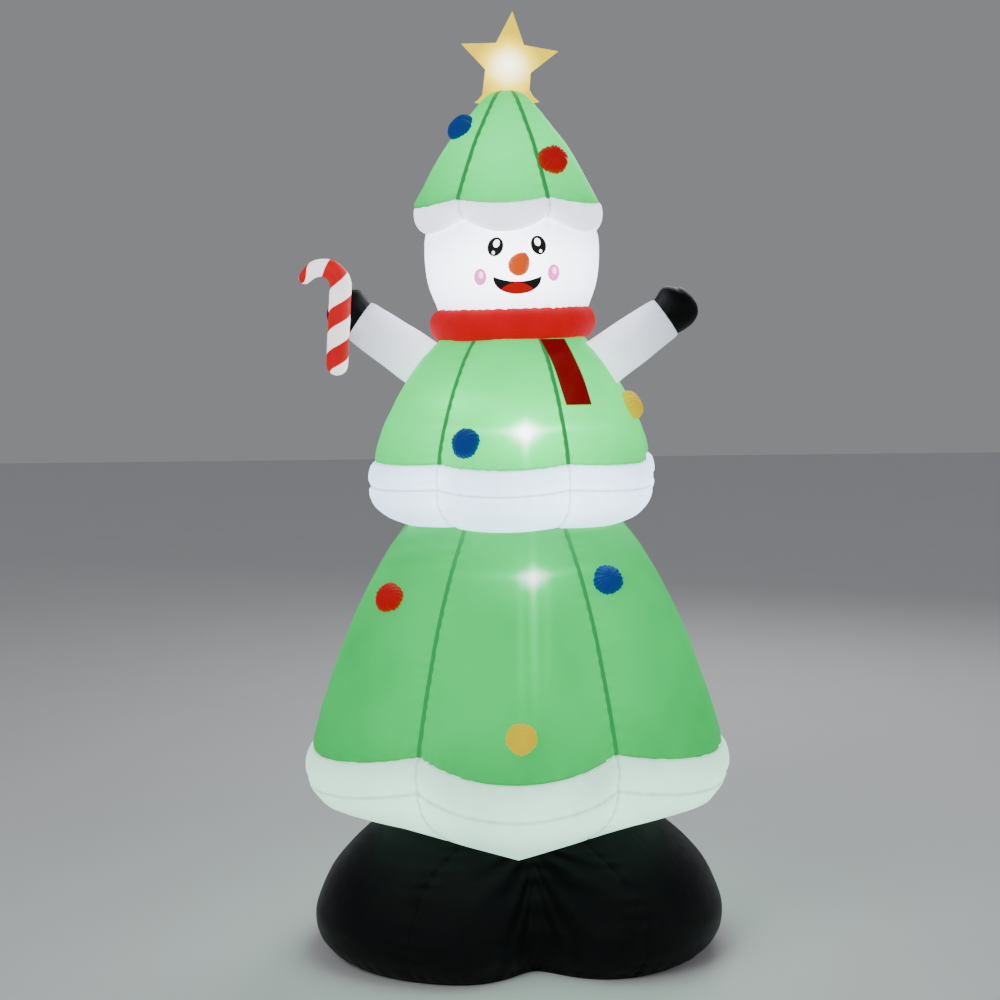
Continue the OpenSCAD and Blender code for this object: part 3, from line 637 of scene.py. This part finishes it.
def lay_flat(points):
    """Presses the rear of the skirt flat under the zip."""
    low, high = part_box("zip_chain")
    x, y, z = points[..., 0], points[..., 1], points[..., 2]
    slope = (high[1] - low[1]) / (high[2] - low[2])
    flat = high[1] - 0.0040 - (z - low[2]) * slope
    off_x = np.clip((np.abs(x) - high[0]) / 0.06, 0, 1)
    off_z = np.clip(np.maximum(low[2] - z, z - high[2]) / 0.05, 0, 1)
    keep = np.clip(np.hypot(off_x, off_z), 0, 1)
    keep = keep * keep * (3 - 2 * keep)
    points[..., 1] = np.where(y > 0, y * keep + flat * (1 - keep), y)


def seam_strips(name, tier, material, width=0.011, lift=0.0034, top=0.0):
    """The folded seam allowance between panels, a thin raised strip down each seam; its darker green is
    painted shade, where doubled cloth lets less lamp light through.
    """
    profile = spline(tier["rows"], 90)
    profile = profile[int(top * 90):]
    share = np.linspace(0, 1, len(profile))
    parts = []
    for k in range(GORES):
        az = tier["turn"] + PITCH / 2 + k * PITCH
        r = tier_radius(tier, profile[:, 0], 0.0) - 0.002 + lift
        path = ring_points(r, az, profile[:, 1])
        half = np.full((len(path), 1), width / 2)
        side = np.array([math.cos(az), math.sin(az), 0])
        out = np.array([math.sin(az), -math.cos(az), 0])
        wave = 0.0006 * ripple(share, k, 1.0, 0.2)[:, None] * side
        section = [(-1, -0.5), (-1, 0.15), (-0.4, 0.3), (0.4, 0.3), (1, 0.15), (1, -0.5)]
        rings = np.stack([path + wave + side * half * a + out * half * b for a, b in section], axis=1)
        parts.append(grid_object(f"{name}_{k}", rings, material, caps=(True, True), flip=True))
    return join(name, parts)


def make_tiers(m):
    for name, tier, paint, seed in (("skirt", SKIRT, "green_skirt", 1.0), ("coat", COAT, "green_coat", 2.3),
                                    ("hat", HAT, "green_hat", 3.1)):
        body = tier_surface(f"{name}_cloth", tier, m[paint], hems=(1.0,), seed=seed)
        strips = seam_strips(f"{name}_seams", tier, m["seam"], top=0.06 if name == "hat" else 0.0)
        if name == "hat":
            place(body, HAT_SHIFT), place(strips, HAT_SHIFT)
        finish_piece(body, "green_fabric", *[f"{name}_gore_{k}" for k in range(1, 7)], fill=1.0)
        finish_piece(strips, "green_fabric")


def make_trims(m):
    for name, tier, paint, hems, nodes, seed in (
            ("skirt_trim", SKIRT_TRIM, "white_skirt", (0.0, 0.17), ("skirt_trim_upper", "skirt_trim_lower"),
             4.2),
            ("coat_trim", COAT_TRIM, "white_coat", (0.0, 0.31), ("coat_trim_upper", "coat_trim_lower"),
             5.7)):
        band = tier_surface(f"{name}_cloth", tier, m[paint], 110, 0.0030, hems, seed)
        finish_piece(band, "white_fabric", *nodes, fill=1.0)


# ---------------------------------------------------------------- head and face

def head_radius(z):
    rows = spline(HEAD_ROWS, ROW_COUNT)
    return np.interp(z, rows[:, 1], rows[:, 0])


def make_head(m):
    cols, rows = 240, 90
    az = round_row(cols)
    profile = spline(HEAD_ROWS, rows)
    r, z = profile[:, :1], profile[:, 1:]
    edge = np.abs((az - FACE_TURN + PITCH / 2) % PITCH - PITCH / 2) * r
    crease = 0.0018 * np.exp(-edge / 0.007) * np.clip((1.80 - z) / 0.05, 0, 1)
    folds = gather(az * r, 1.3, 0.027)
    low = 0.006 * np.exp(-(z - 1.700) / 0.018) * folds
    high = 0.004 * np.exp(-(1.905 - z) / 0.012) * folds
    radius = r - crease - np.clip(low, 0, 0.006) - np.clip(high, 0, 0.004)
    radius = radius + 0.0012 * ripple(az * r, z, 2.2, 0.16)
    shade = 0.30 * (crease > 0) * np.exp(-(edge / 0.003) ** 2) * np.clip((1.80 - z) / 0.05, 0, 1)
    shade = shade + 0.35 * folds ** 2 * (np.exp(-(z - 1.700) / 0.02) + np.exp(-(1.905 - z) / 0.02))
    head = grid_object("head_cloth", ring_points(radius, az, z), m["white_head"],
                       flip=True, shade=shade)
    finish_piece(head, "white_fabric", "head", fill=1.0)


def on_face(x, z, lift):
    """A point on the face, x metres to the side of its middle along the cloth."""
    r = float(head_radius(z))
    az = FACE_TURN + x / r
    return Vector(ring_points(r + lift, az, z))


def patch(name, outline, material, lift, rings=5):
    """A printed shape that follows the head; outline maps an angle and a share to (x, z)."""
    steps = 40
    grid = []
    for share in np.linspace(0.02, 1, rings):
        row = []
        for k in range(steps):
            x, z = outline(TAU * k / steps, share)
            row.append(on_face(x, z, lift))
        grid.append(row)
    return grid_object(name, np.array(grid), material, caps=(True, False))


def oval(x0, z0, half_w, half_h, tilt=0.0):
    def outline(angle, share):
        a, b = half_w * share * math.cos(angle), half_h * share * math.sin(angle)
        return x0 + a * math.cos(tilt) - b * math.sin(tilt), z0 + a * math.sin(tilt) + b * math.cos(tilt)
    return outline


MOUTH_Z, MOUTH_HALF, MOUTH_TOP, MOUTH_LOW = 1.779, 0.0605, 0.0130, 0.0435
TONGUE_HALF, TONGUE_TOP = 0.042, 0.0150


def lower_lip(x):
    return -MOUTH_LOW * max(0.0, 1 - (x / MOUTH_HALF) ** 2) ** 0.42


def between(x0, z0, half_w, upper, lower):
    """The shape between two curves, each a height at a distance from its middle."""
    def outline(angle, share):
        u = math.cos(angle) * share
        v = 0.5 - 0.5 * math.sin(angle) * share / max(1e-6, math.sqrt(1 - u * u))
        x = half_w * u
        return x0 + x, z0 + upper(x) * (1 - v) + lower(x) * v
    return outline


def make_face(m):
    parts = []
    for side in (-1, 1):
        x, z = 0.0535 * side - 0.0025, 1.853 + 0.0015 * side
        tilt = 0.38 * side
        parts += [
            patch(f"eye_rim_{side}", oval(x, z, 0.0215, 0.0265, tilt), m["ink_white"], 0.0010),
            patch(f"eye_{side}", oval(x, z, 0.0190, 0.0238, tilt), m["ink_black"], 0.0016),
            patch(f"glint_{side}", oval(x - 0.003 * side, z + 0.0075, 0.0075, 0.0100, tilt),
                  m["ink_white"], 0.0022),
            patch(f"spark_{side}", oval(x + 0.005 * side, z - 0.0145, 0.0036, 0.0042),
                  m["ink_white"], 0.0022)]
        cx, cz = 0.0935 * side - 0.002, 1.7825 + 0.0045 * side
        parts += [
            patch(f"cheek_{side}", oval(cx, cz, 0.0165, 0.0205), m["ink_pink"], 0.0010),
            patch(f"cheek_light_{side}", oval(cx + 0.002, cz + 0.0045, 0.0055, 0.0085),
                  m["ink_pale_pink"], 0.0016)]
    mouth = between(-0.002, MOUTH_Z, MOUTH_HALF,
                    lambda x: -MOUTH_TOP * (1 - (x / MOUTH_HALF) ** 2), lower_lip)
    meet = lower_lip(TONGUE_HALF)
    tongue = between(-0.002, MOUTH_Z + 0.0006, TONGUE_HALF,
                     lambda x: -TONGUE_TOP + (meet + TONGUE_TOP) * (x / TONGUE_HALF) ** 2, lower_lip)
    parts += [patch("mouth", mouth, m["ink_black"], 0.0010, 8),
              patch("tongue", tongue, m["ink_red"], 0.0018, 8)]
    finish_piece(join("face_print", parts), "white_fabric")


def make_nose(m):
    """A blunt stuffed cone whose tip points up and a little to the side."""
    rows, cols = 44, 64
    profile = spline([(0.0250, 0.0), (0.0265, 0.004), (0.0255, 0.012), (0.0200, 0.024), (0.0120, 0.034),
                      (0.0050, 0.041), (0.0004, 0.0450)], rows)
    a = round_row(cols)
    r, h = profile[:, :1], profile[:, 1:]
    base = 0.0014 * np.exp(-h / 0.005) * gather(a * 0.025, 2, 0.012)
    crease = 0.0007 * np.sin(3 * a + h * 150) * np.sin(np.pi * h / 0.045)
    radius = r - (base + crease) * (r > 0.004)
    bend = (h / 0.045) ** 1.5
    aside, upward = 0.0150 * bend, 0.0290 * bend
    points = turned(radius, a, h) + np.stack([aside, upward, 0 * h], axis=-1)
    nose = grid_object("nose_cloth", points, m["orange"], caps=(True, True), flip=True)
    where = (Matrix.Rotation(FACE_TURN, 4, "Z") @ Matrix.Translation((0, -0.2245, 1.805))
             @ Matrix.Rotation(math.pi / 2, 4, "X"))
    finish_piece(place(nose, where), "nose_fabric", "nose", fill=0.9)


# ---------------------------------------------------------------- brim and scarf

def make_brim(m):
    """A puffed band of six scallops under the hat, pinched at the seams."""
    brim = tier_surface("hat_brim_cloth", BRIM, m["white_brim"], 60, 0.0024, (0.0, 1.0), 4.4)
    finish_piece(place(brim, Matrix.Translation((-0.005, 0, 0))), "white_fabric", "hat_brim", fill=0.95)


def make_scarf(m):
    cols, rows = 420, 44
    az = round_row(cols)
    a = np.linspace(-math.radians(125), math.radians(125), rows)[:, None]
    around = az * 0.215
    edge = np.exp(-(math.radians(125) - np.abs(a)) / 0.75)
    pleats = gather(around, 2.9, 0.031) * (a > 0) + gather(around + 0.012, 1.1, 0.037) * (a <= 0)
    radius = 0.186 + 0.0285 * np.cos(a) - 0.0060 * edge * pleats ** 2
    radius = radius + 0.0016 * ripple(around, a * 0.06, 3.1, 0.09)
    z = 1.661 + 0.040 * np.sin(a) + 0.004 * np.sin(az) + 0.002 * ripple(around, a * 0.04, 2.0, 0.11)
    scarf = grid_object("scarf_cloth", ring_points(radius, az, z), m["red"], flip=True)
    finish_piece(scarf, "red_fabric", "scarf_ring", fill=0.9)


TAIL_TOP, TAIL_LOW = 1.622, 1.462
TAIL_WIDTH = 0.058


def make_tail(m):
    """The scarf's end: two layers of cloth, hemmed, lying on the coat, its darker red a painted shade."""
    rows, cols = 60, 15
    grid = []
    for i, share in enumerate(np.linspace(0, 1, rows)):
        z = TAIL_TOP + (TAIL_LOW - TAIL_TOP) * share
        centre = math.radians(33)
        r = on_tier(COAT, centre, z).xy.length
        row = []
        for u in np.linspace(-0.5, 0.5, cols):
            az = centre + u * TAIL_WIDTH * (0.94 + 0.06 * share) / r
            lift = 0.0055 + 0.0012 * math.sin(9 * share + 5 * u) - 0.0008 * (abs(u) > 0.4)
            row.append(on_tier(COAT, az, z, lift))
        grid.append(row)
    tail = grid_object("scarf_end_cloth", np.array(grid), m["shaded_red"], closed=False)
    modify(tail, "SOLIDIFY", thickness=0.0024, offset=0)
    finish_piece(tail, "dark_red_fabric", "scarf_tail")


# ---------------------------------------------------------------- arms and cane

def arm_matrix(side):
    turn = Euler((0, side * (math.pi / 2 - ARM_RISE), 0)).to_matrix().to_4x4()
    return Matrix.Translation((side * SHOULDER.x, 0, SHOULDER.z)) @ turn


def make_arm(m, side):
    word = "right" if side > 0 else "left"
    rows, cols = 70, 96
    profile = spline([(0.066, -0.040), (0.0665, 0.0), (0.064, 0.06), (0.060, 0.12), (0.0575, 0.172),
                      (0.0545, SLEEVE_LEN + 0.001)], rows)
    a = round_row(cols)
    r, h = profile[:, :1], profile[:, 1:]
    folds = gather(a * 0.06, side + 2, 0.024)
    wrist = np.exp(-np.abs(SLEEVE_LEN - h) / 0.012)
    shoulder = np.exp(-np.abs(h - 0.004) / 0.022)
    seam = np.exp(-np.abs((a + 1.2) % TAU - math.pi) * 0.06 / 0.006)
    radius = (r - 0.003 * wrist * folds - 0.005 * shoulder * folds - 0.0015 * seam
              + 0.0014 * ripple(a * 0.06, h, side + 3.3, 0.07))
    points = turned(radius, a, h)
    sleeve = grid_object(f"sleeve_{word}_cloth", points, m["white_sleeve"], flip=True)
    finish_piece(place(sleeve, arm_matrix(side)), "white_fabric", f"sleeve_{word}", fill=1.0)
    make_mitten(m, side, word)


def make_mitten(m, side, word):
    """A short mitten: a rounded end with the thumb sewn in as a low swelling on its upper side."""
    rows, cols = 60, 96
    profile = spline([(0.0525, 0.0), (0.0540, 0.010), (0.0560, 0.030), (0.0535, 0.052), (0.0430, 0.072),
                      (0.0255, 0.0835), (0.0020, 0.0870)], rows)
    a = round_row(cols)
    r, h = profile[:, :1], profile[:, 1:]
    up = np.cos(a) * -side
    toward = np.clip(up, 0, 1)
    thumb = 0.010 * np.exp(-((h - 0.040) / 0.024) ** 2) * toward ** 1.5
    notch = 0.004 * np.exp(-((h - 0.066) / 0.005) ** 2) * toward ** 4
    folds = gather(a * 0.05, side + 6, 0.020)
    cuff = np.exp(-h / 0.008)
    radius = (r + thumb - notch * (r > 0.02) - 0.0028 * cuff * folds
              + 0.0010 * ripple(a * 0.05, h, side + 1.3, 0.05) * (r > 0.01))
    points = turned(radius, a, h)
    mitten = grid_object(f"mitten_{word}_cloth", points, m["black"], caps=(True, True), flip=True)
    lift = Matrix.Translation((0, 0, SLEEVE_LEN + 0.0006))
    finish_piece(place(mitten, arm_matrix(side) @ lift), "black_fabric", f"mitten_{word}", fill=1.0)


CANE_R, CANE_TIP_R = 0.028, 0.016
CANE_HOOK = 0.047
CANE_STICK = 0.195
CANE_CURL = math.radians(140)
CANE_END = 0.014
CANE_PITCH = 0.107


def make_cane(m):
    """A tube up a stick and round a hook that narrows to its end; both ends are rounded."""
    stick = [Vector((0, 0, h)) for h in np.linspace(0, CANE_STICK, 60)]
    hook = [Vector((CANE_HOOK * (math.cos(t) - 1), 0, CANE_STICK + CANE_HOOK * math.sin(t)))
            for t in np.linspace(0, CANE_CURL, 60)[1:]]
    onward = Vector((-math.sin(CANE_CURL), 0, math.cos(CANE_CURL)))
    hook += [hook[-1] + onward * h for h in np.linspace(0, CANE_END, 10)[1:]]
    cap = np.linspace(0, 1, 14)[1:]
    foot = [Vector((0, 0, -CANE_R * c)) for c in cap[::-1]]
    tip = [hook[-1] + onward * CANE_TIP_R * c for c in cap]
    path = np.array([tuple(p) for p in foot + stick + hook + tip])
    round_end = np.sqrt(np.clip(1 - cap ** 2, 0.002, 1))
    narrow = CANE_R + (CANE_TIP_R - CANE_R) * np.linspace(0, 1, len(hook)) ** 1.6
    radius = np.concatenate([CANE_R * round_end[::-1], np.full(len(stick), CANE_R), narrow,
                             CANE_TIP_R * round_end])
    walk = walked(path)
    radius = radius * (1 - 0.02 * gather(walk, 2.0, 0.040))
    # The stripes wind up the stick, then lean the other way round the hook.
    before = len(foot) + len(stick)
    twist = 1 - 1.45 * np.clip((walk - walk[before - 1]) / (CANE_HOOK * math.pi / 2), 0, None)
    cane = tube("candy_cane_cloth", path, radius, m["cane"], 48, (1, 0, 0), twist)
    turn = Matrix.Translation(CANE_AT) @ Matrix.Rotation(CANE_LEAN, 4, "Y")
    finish_piece(place(cane, turn), "cane_fabric", "candy_cane", fill=1.0)


# ---------------------------------------------------------------- star

STAR_AT = Vector((-0.003, 0, 2.320))
STAR_TILT = 5
TRUNK_X, TRUNK_HALF, TRUNK_Z = -0.008, 0.060, 2.243


def star_outline(count):
    """Points round the star, about its middle: its free tips above a trunk."""
    corners = [(TRUNK_X - TRUNK_HALF, TRUNK_Z - STAR_AT.z)]
    for k in range(-3, 4):
        r = 0.131 if k % 2 == 0 else 0.061
        a = math.radians(90 - k * 36 - STAR_TILT)
        corners.append((r * math.cos(a), r * math.sin(a)))
    corners.append((TRUNK_X + TRUNK_HALF, TRUNK_Z - STAR_AT.z))
    ring = np.array(corners + corners[:1])
    walk = walked(ring)
    want = np.linspace(0, walk[-1], count, endpoint=False)
    return np.stack([np.interp(want, walk, ring[:, i]) for i in range(2)], axis=1), ring


def edge_distance(points, ring):
    """How far each point is from the nearest side of a closed outline."""
    best = np.full(points.shape[:-1], np.inf)
    for a, b in zip(ring[:-1], ring[1:]):
        along = b - a
        t = np.clip(((points - a) @ along) / (along @ along), 0, 1)
        best = np.minimum(best, np.linalg.norm(points - (a + t[..., None] * along), axis=-1))
    return best


def make_star(m):
    outline, ring = star_outline(240)
    shares = np.linspace(0.0, 1, 40) ** 0.8
    flat = outline[None, :, :] * shares[:, None, None]
    edge = edge_distance(flat, ring)
    depth = 0.043 * (1 - np.exp(-edge / 0.026)) / (1 - math.exp(-0.055 / 0.026))
    around = np.linalg.norm(np.diff(np.vstack([outline, outline[:1]]), axis=0), axis=1).cumsum()
    folds = gather(around, 1.2, 0.016)[None, :]
    depth = np.clip(depth - 0.0026 * folds * np.exp(-edge / 0.008) * (edge > 1e-6), 0, None)
    parts = []
    for face in (-1, 1):
        points = np.stack([flat[..., 0] + STAR_AT.x, face * depth, flat[..., 1] + STAR_AT.z], axis=-1)
        parts.append(grid_object(f"star_{face}", points, m["star"], flip=face < 0))
    star = join("star_cloth", parts)
    bm = bmesh.new()
    bm.from_mesh(star.data)
    bmesh.ops.remove_doubles(bm, verts=bm.verts, dist=0.0002)
    bm.to_mesh(star.data)
    bm.free()
    finish_piece(star, "star_fabric", "star", fill=1.0)
    make_star_collar(m)


def make_star_collar(m):
    rows, cols = 24, 160
    profile = spline([(0.059, 2.250), (0.064, 2.240), (0.074, 2.229), (0.082, 2.223)], rows)
    az = round_row(cols)
    r, z = profile[:, :1], profile[:, 1:]
    share = np.linspace(0, 1, rows)[:, None]
    radius = r - 0.004 * gather(az * 0.075, 3.3, 0.024) * share
    points = ring_points(radius, az, z)
    points[..., 1] *= 0.42
    points[..., 0] += TRUNK_X
    collar = grid_object("star_collar_cloth", points, m["star"])
    modify(collar, "SOLIDIFY", thickness=0.0015, offset=1)
    finish_piece(collar, "star_fabric", "star_collar", fill=0.8)


# ---------------------------------------------------------------- ornaments

ORNAMENTS = dict(
    red=[(SKIRT, -50, 0.985), (HAT, 34.5, 2.063)],
    blue=[(SKIRT, 39.5, 1.026), (COAT, -19, 1.375), (HAT, -64, 2.150)],
    yellow=[(SKIRT, 1, 0.695), (COAT, 67, 1.448)])


def surface_frame(tier, az, z, lift):
    """A frame that stands square on a tier."""
    step_az, step_z = math.radians(2), 0.004
    across = (on_tier(tier, az + step_az, z) - on_tier(tier, az - step_az, z)).normalized()
    up = on_tier(tier, az, z + step_z) - on_tier(tier, az, z - step_z)
    out = across.cross(up).normalized()
    side = out.cross(across)
    where = Matrix((across, side, out)).transposed().to_4x4()
    return Matrix.Translation(on_tier(tier, az, z) + out * lift) @ where


def ornament(name, material, seed):
    """A stuffed disc of satin, gathered all round its back edge."""
    rows, cols = 44, 120
    a = round_row(cols)
    t = np.linspace(0, 1, rows)[:, None]
    outline = 0.0385 * (1 + 0.025 * np.sin(3 * a + seed) + 0.02 * np.sin(5 * a + 2 * seed))
    lean = t * math.radians(112)
    reach = outline * np.sin(lean) ** 0.9
    height = 0.027 * np.cos(lean)
    pleats = gather(a * 0.038, seed, 0.0125)
    strength = np.clip((t - 0.25) / 0.75, 0, 1) ** 1.6
    reach = reach - 0.0042 * pleats * strength
    height = height - 0.0030 * pleats * np.sin(lean)
    height = height + 0.0012 * ripple(a * 0.03, t * 0.05, seed, 0.03) * (t > 0.05)
    points = turned(reach, a, height)
    return grid_object(name, points, material, caps=(True, True))


def make_ornaments(m):
    seed = 1.0
    for colour, places in ORNAMENTS.items():
        parts = []
        for k, (tier, az, z) in enumerate(places):
            seed += 1.37
            piece = ornament(f"{colour}_ornament_{k}", m[f"{colour}_ball"], seed)
            where = surface_frame(tier, math.radians(az), z, 0.006)
            parts.append(place(piece, where @ Matrix.Rotation(seed, 4, "Z")))
        finish_piece(join(f"{colour}_ornaments_cloth", parts), f"{colour}_ornament", f"{colour}_ornaments",
                     fill=0.85)


# ---------------------------------------------------------------- base

PINCH_AZ = math.radians(10)
BOOT_ROWS = [(0.44, 0.386), (0.54, 0.384), (0.61, 0.370), (0.67, 0.344), (0.75, 0.308), (0.84, 0.262),
             (0.93, 0.203), (0.985, 0.140), (1.0, 0.102), (0.985, 0.058), (0.93, 0.018), (0.875, 0.003),
             (0.80, 0.0015)]


def base_radius(az):
    """The boots' outline: an oval pinched at the front between the toes."""
    power = 2.4
    oval_r = ((np.abs(np.sin(az)) / 0.545) ** power + (np.abs(np.cos(az)) / 0.380) ** power) ** (-1 / power)
    off = (az - PINCH_AZ) / math.radians(20)
    return oval_r * (1 - 0.30 * np.exp(-off ** 2))


PANEL_Y = 0.373
PANEL_AZ, SQUARE_AZ = math.radians(160), math.radians(140)


def boot_radius(az, share, soft=0.0):
    """The boots' outline at a share of its full size, squared off to meet the rear panel."""
    k = np.clip((np.abs(az) - SQUARE_AZ) / (PANEL_AZ - SQUARE_AZ), 0, 1)
    k = k * k * (3 - 2 * k)
    return (base_radius(az) * share + soft) * (1 - k) + (PANEL_Y - 0.0016) / np.cos(math.pi - np.abs(az)) * k


def make_boots(m):
    rows, cols = 140, 660
    az = np.linspace(-math.pi, math.pi, cols, endpoint=False)[None, :]
    profile = spline(BOOT_ROWS, rows)
    share, z = profile[:, :1], profile[:, 1:]
    around = az * 0.45
    down = np.linspace(0, 1, rows)[:, None] * 0.52
    middle = np.sin(np.pi * down / 0.52)
    soft = -0.007 * np.exp(-down / 0.030) * gather(around, 1.9, 0.036)
    soft = soft - 0.004 * np.exp(-np.abs(z - 0.020) / 0.018) * gather(around, 3.9, 0.042) * (z > 0.004)
    valley = np.exp(-np.abs(az - PINCH_AZ) * 0.4 / 0.055)
    soft = soft - 0.007 * valley * gather(down + 0 * az, 2.4, 0.055) * middle
    soft = soft + 0.004 * ripple(around, down, 1.4, 0.22) * middle
    # A seam runs up over each toe, leaning to the middle at its top, and draws folds to both sides.
    for at, slant in ((-0.70, 0.42), (0.78, -0.36)):
        line = (az - at - slant * np.clip(1 - down / 0.30, 0, 1) ** 1.5) * 0.45
        pull = np.exp(-np.abs(line) / 0.030) * gather(down + 0 * az, 3.1 + at, 0.037)
        soft = soft - (0.005 * pull + 0.006 * np.exp(-np.abs(line) / 0.008)) * middle
    # Long soft folds fan out from the middle of the front.
    fan = np.arctan2(z - 0.34, np.abs(az - PINCH_AZ) * 0.45 + 0.03)
    reach = np.abs(az - PINCH_AZ) * 0.45
    folds = np.sin(fan * 22 + 2 * np.sin(fan * 5)) * np.exp(-((reach - 0.14) / 0.09) ** 2)
    soft = soft + 0.004 * folds * middle
    radius = boot_radius(az, share, soft)
    boots = grid_object("boots_cloth", ring_points(radius, az, z), m["black"])
    finish_piece(boots, "black_fabric", "boot_left", "boot_right", fill=1.0)


def make_sole(m):
    az = np.linspace(-math.pi, math.pi, 180, endpoint=False)
    outline = boot_radius(az, 0.88)
    rings = [ring_points(outline * s, az, z)
             for s, z in ((0.02, 0.0), (0.5, 0.0), (0.97, 0.0), (1.0, 0.0008), (1.0, 0.0022), (0.96, 0.0025),
                          (0.02, 0.0025))]
    sole = grid_object("sole_cloth", np.array(rings), m["sole"], caps=(True, True), flip=True)
    finish_piece(sole, "sole_fabric", "base_sole", fill=0.1)


CAD_PAINT = dict(
    fan_panel="black", fan_housing="housing", clamp_ring="ring", clamp_screws="steel", clamp_nuts="steel",
    intake_grille="housing", outlet_grille="housing", fan_motor="motor", motor_shaft="steel",
    impeller="impeller", power_inlet="housing", lamp_bodies="lamp", lamp_lenses="lamp",
    lamp_wiring="lead", lamp_tapes="tape", zip_chain="zip_tape", zip_slider="nickel", zip_pull="nickel",
    tether_loops="green_strap", stake_loops="black_strap")


def paint_cad(m):
    """Each CAD node that stays visible gets a finished material."""
    for name, paint in CAD_PAINT.items():
        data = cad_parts[name].data
        data.materials.clear()
        data.materials.append(m[paint])


# ---------------------------------------------------------------- stage

FLOOR_HALF = 14


def make_stage():
    g = Graph("floor_paint", 0.85)
    g.set("Base Color", g.mix(g.noise(3, 3), (0.78, 0.78, 0.79), (0.74, 0.74, 0.75)))
    mesh = bpy.data.meshes.new("floor")
    size = FLOOR_HALF
    corners = [(-size, -size, 0), (size, -size, 0), (size, size, 0), (-size, size, 0)]
    mesh.from_pydata(corners, [], [(0, 1, 2, 3)])
    add_object("floor", mesh, g.material, smooth=False)
    world = bpy.data.worlds.new("studio")
    world.use_nodes = True
    world.node_tree.nodes["Background"].inputs[0].default_value = (0.80, 0.82, 0.86, 1)
    world.node_tree.nodes["Background"].inputs[1].default_value = 0.30
    bpy.context.scene.world = world
    for name, at, power, size in (("key", (-2.6, -3.6, 3.6), 75, 2.4), ("fill", (3.2, -3.0, 2.2), 30, 2.6),
                                  ("back", (1.2, 3.4, 3.4), 60, 2.2)):
        light = bpy.data.lights.new(name, "AREA")
        light.energy, light.size = power, size
        lamp = bpy.data.objects.new(name, light)
        bpy.context.collection.objects.link(lamp)
        lamp.location = at
        lamp.rotation_euler = (Vector((0, 0, 1.1)) - Vector(at)).to_track_quat("-Z", "Y").to_euler()


# ---------------------------------------------------------------- the whole figure

make_camera()
materials = make_materials()
make_tiers(materials)
make_trims(materials)
make_head(materials)
make_face(materials)
make_nose(materials)
make_brim(materials)
make_scarf(materials)
make_tail(materials)
for side in (-1, 1):
    make_arm(materials, side)
make_cane(materials)
make_star(materials)
make_ornaments(materials)
make_boots(materials)
make_sole(materials)
paint_cad(materials)
make_stage()
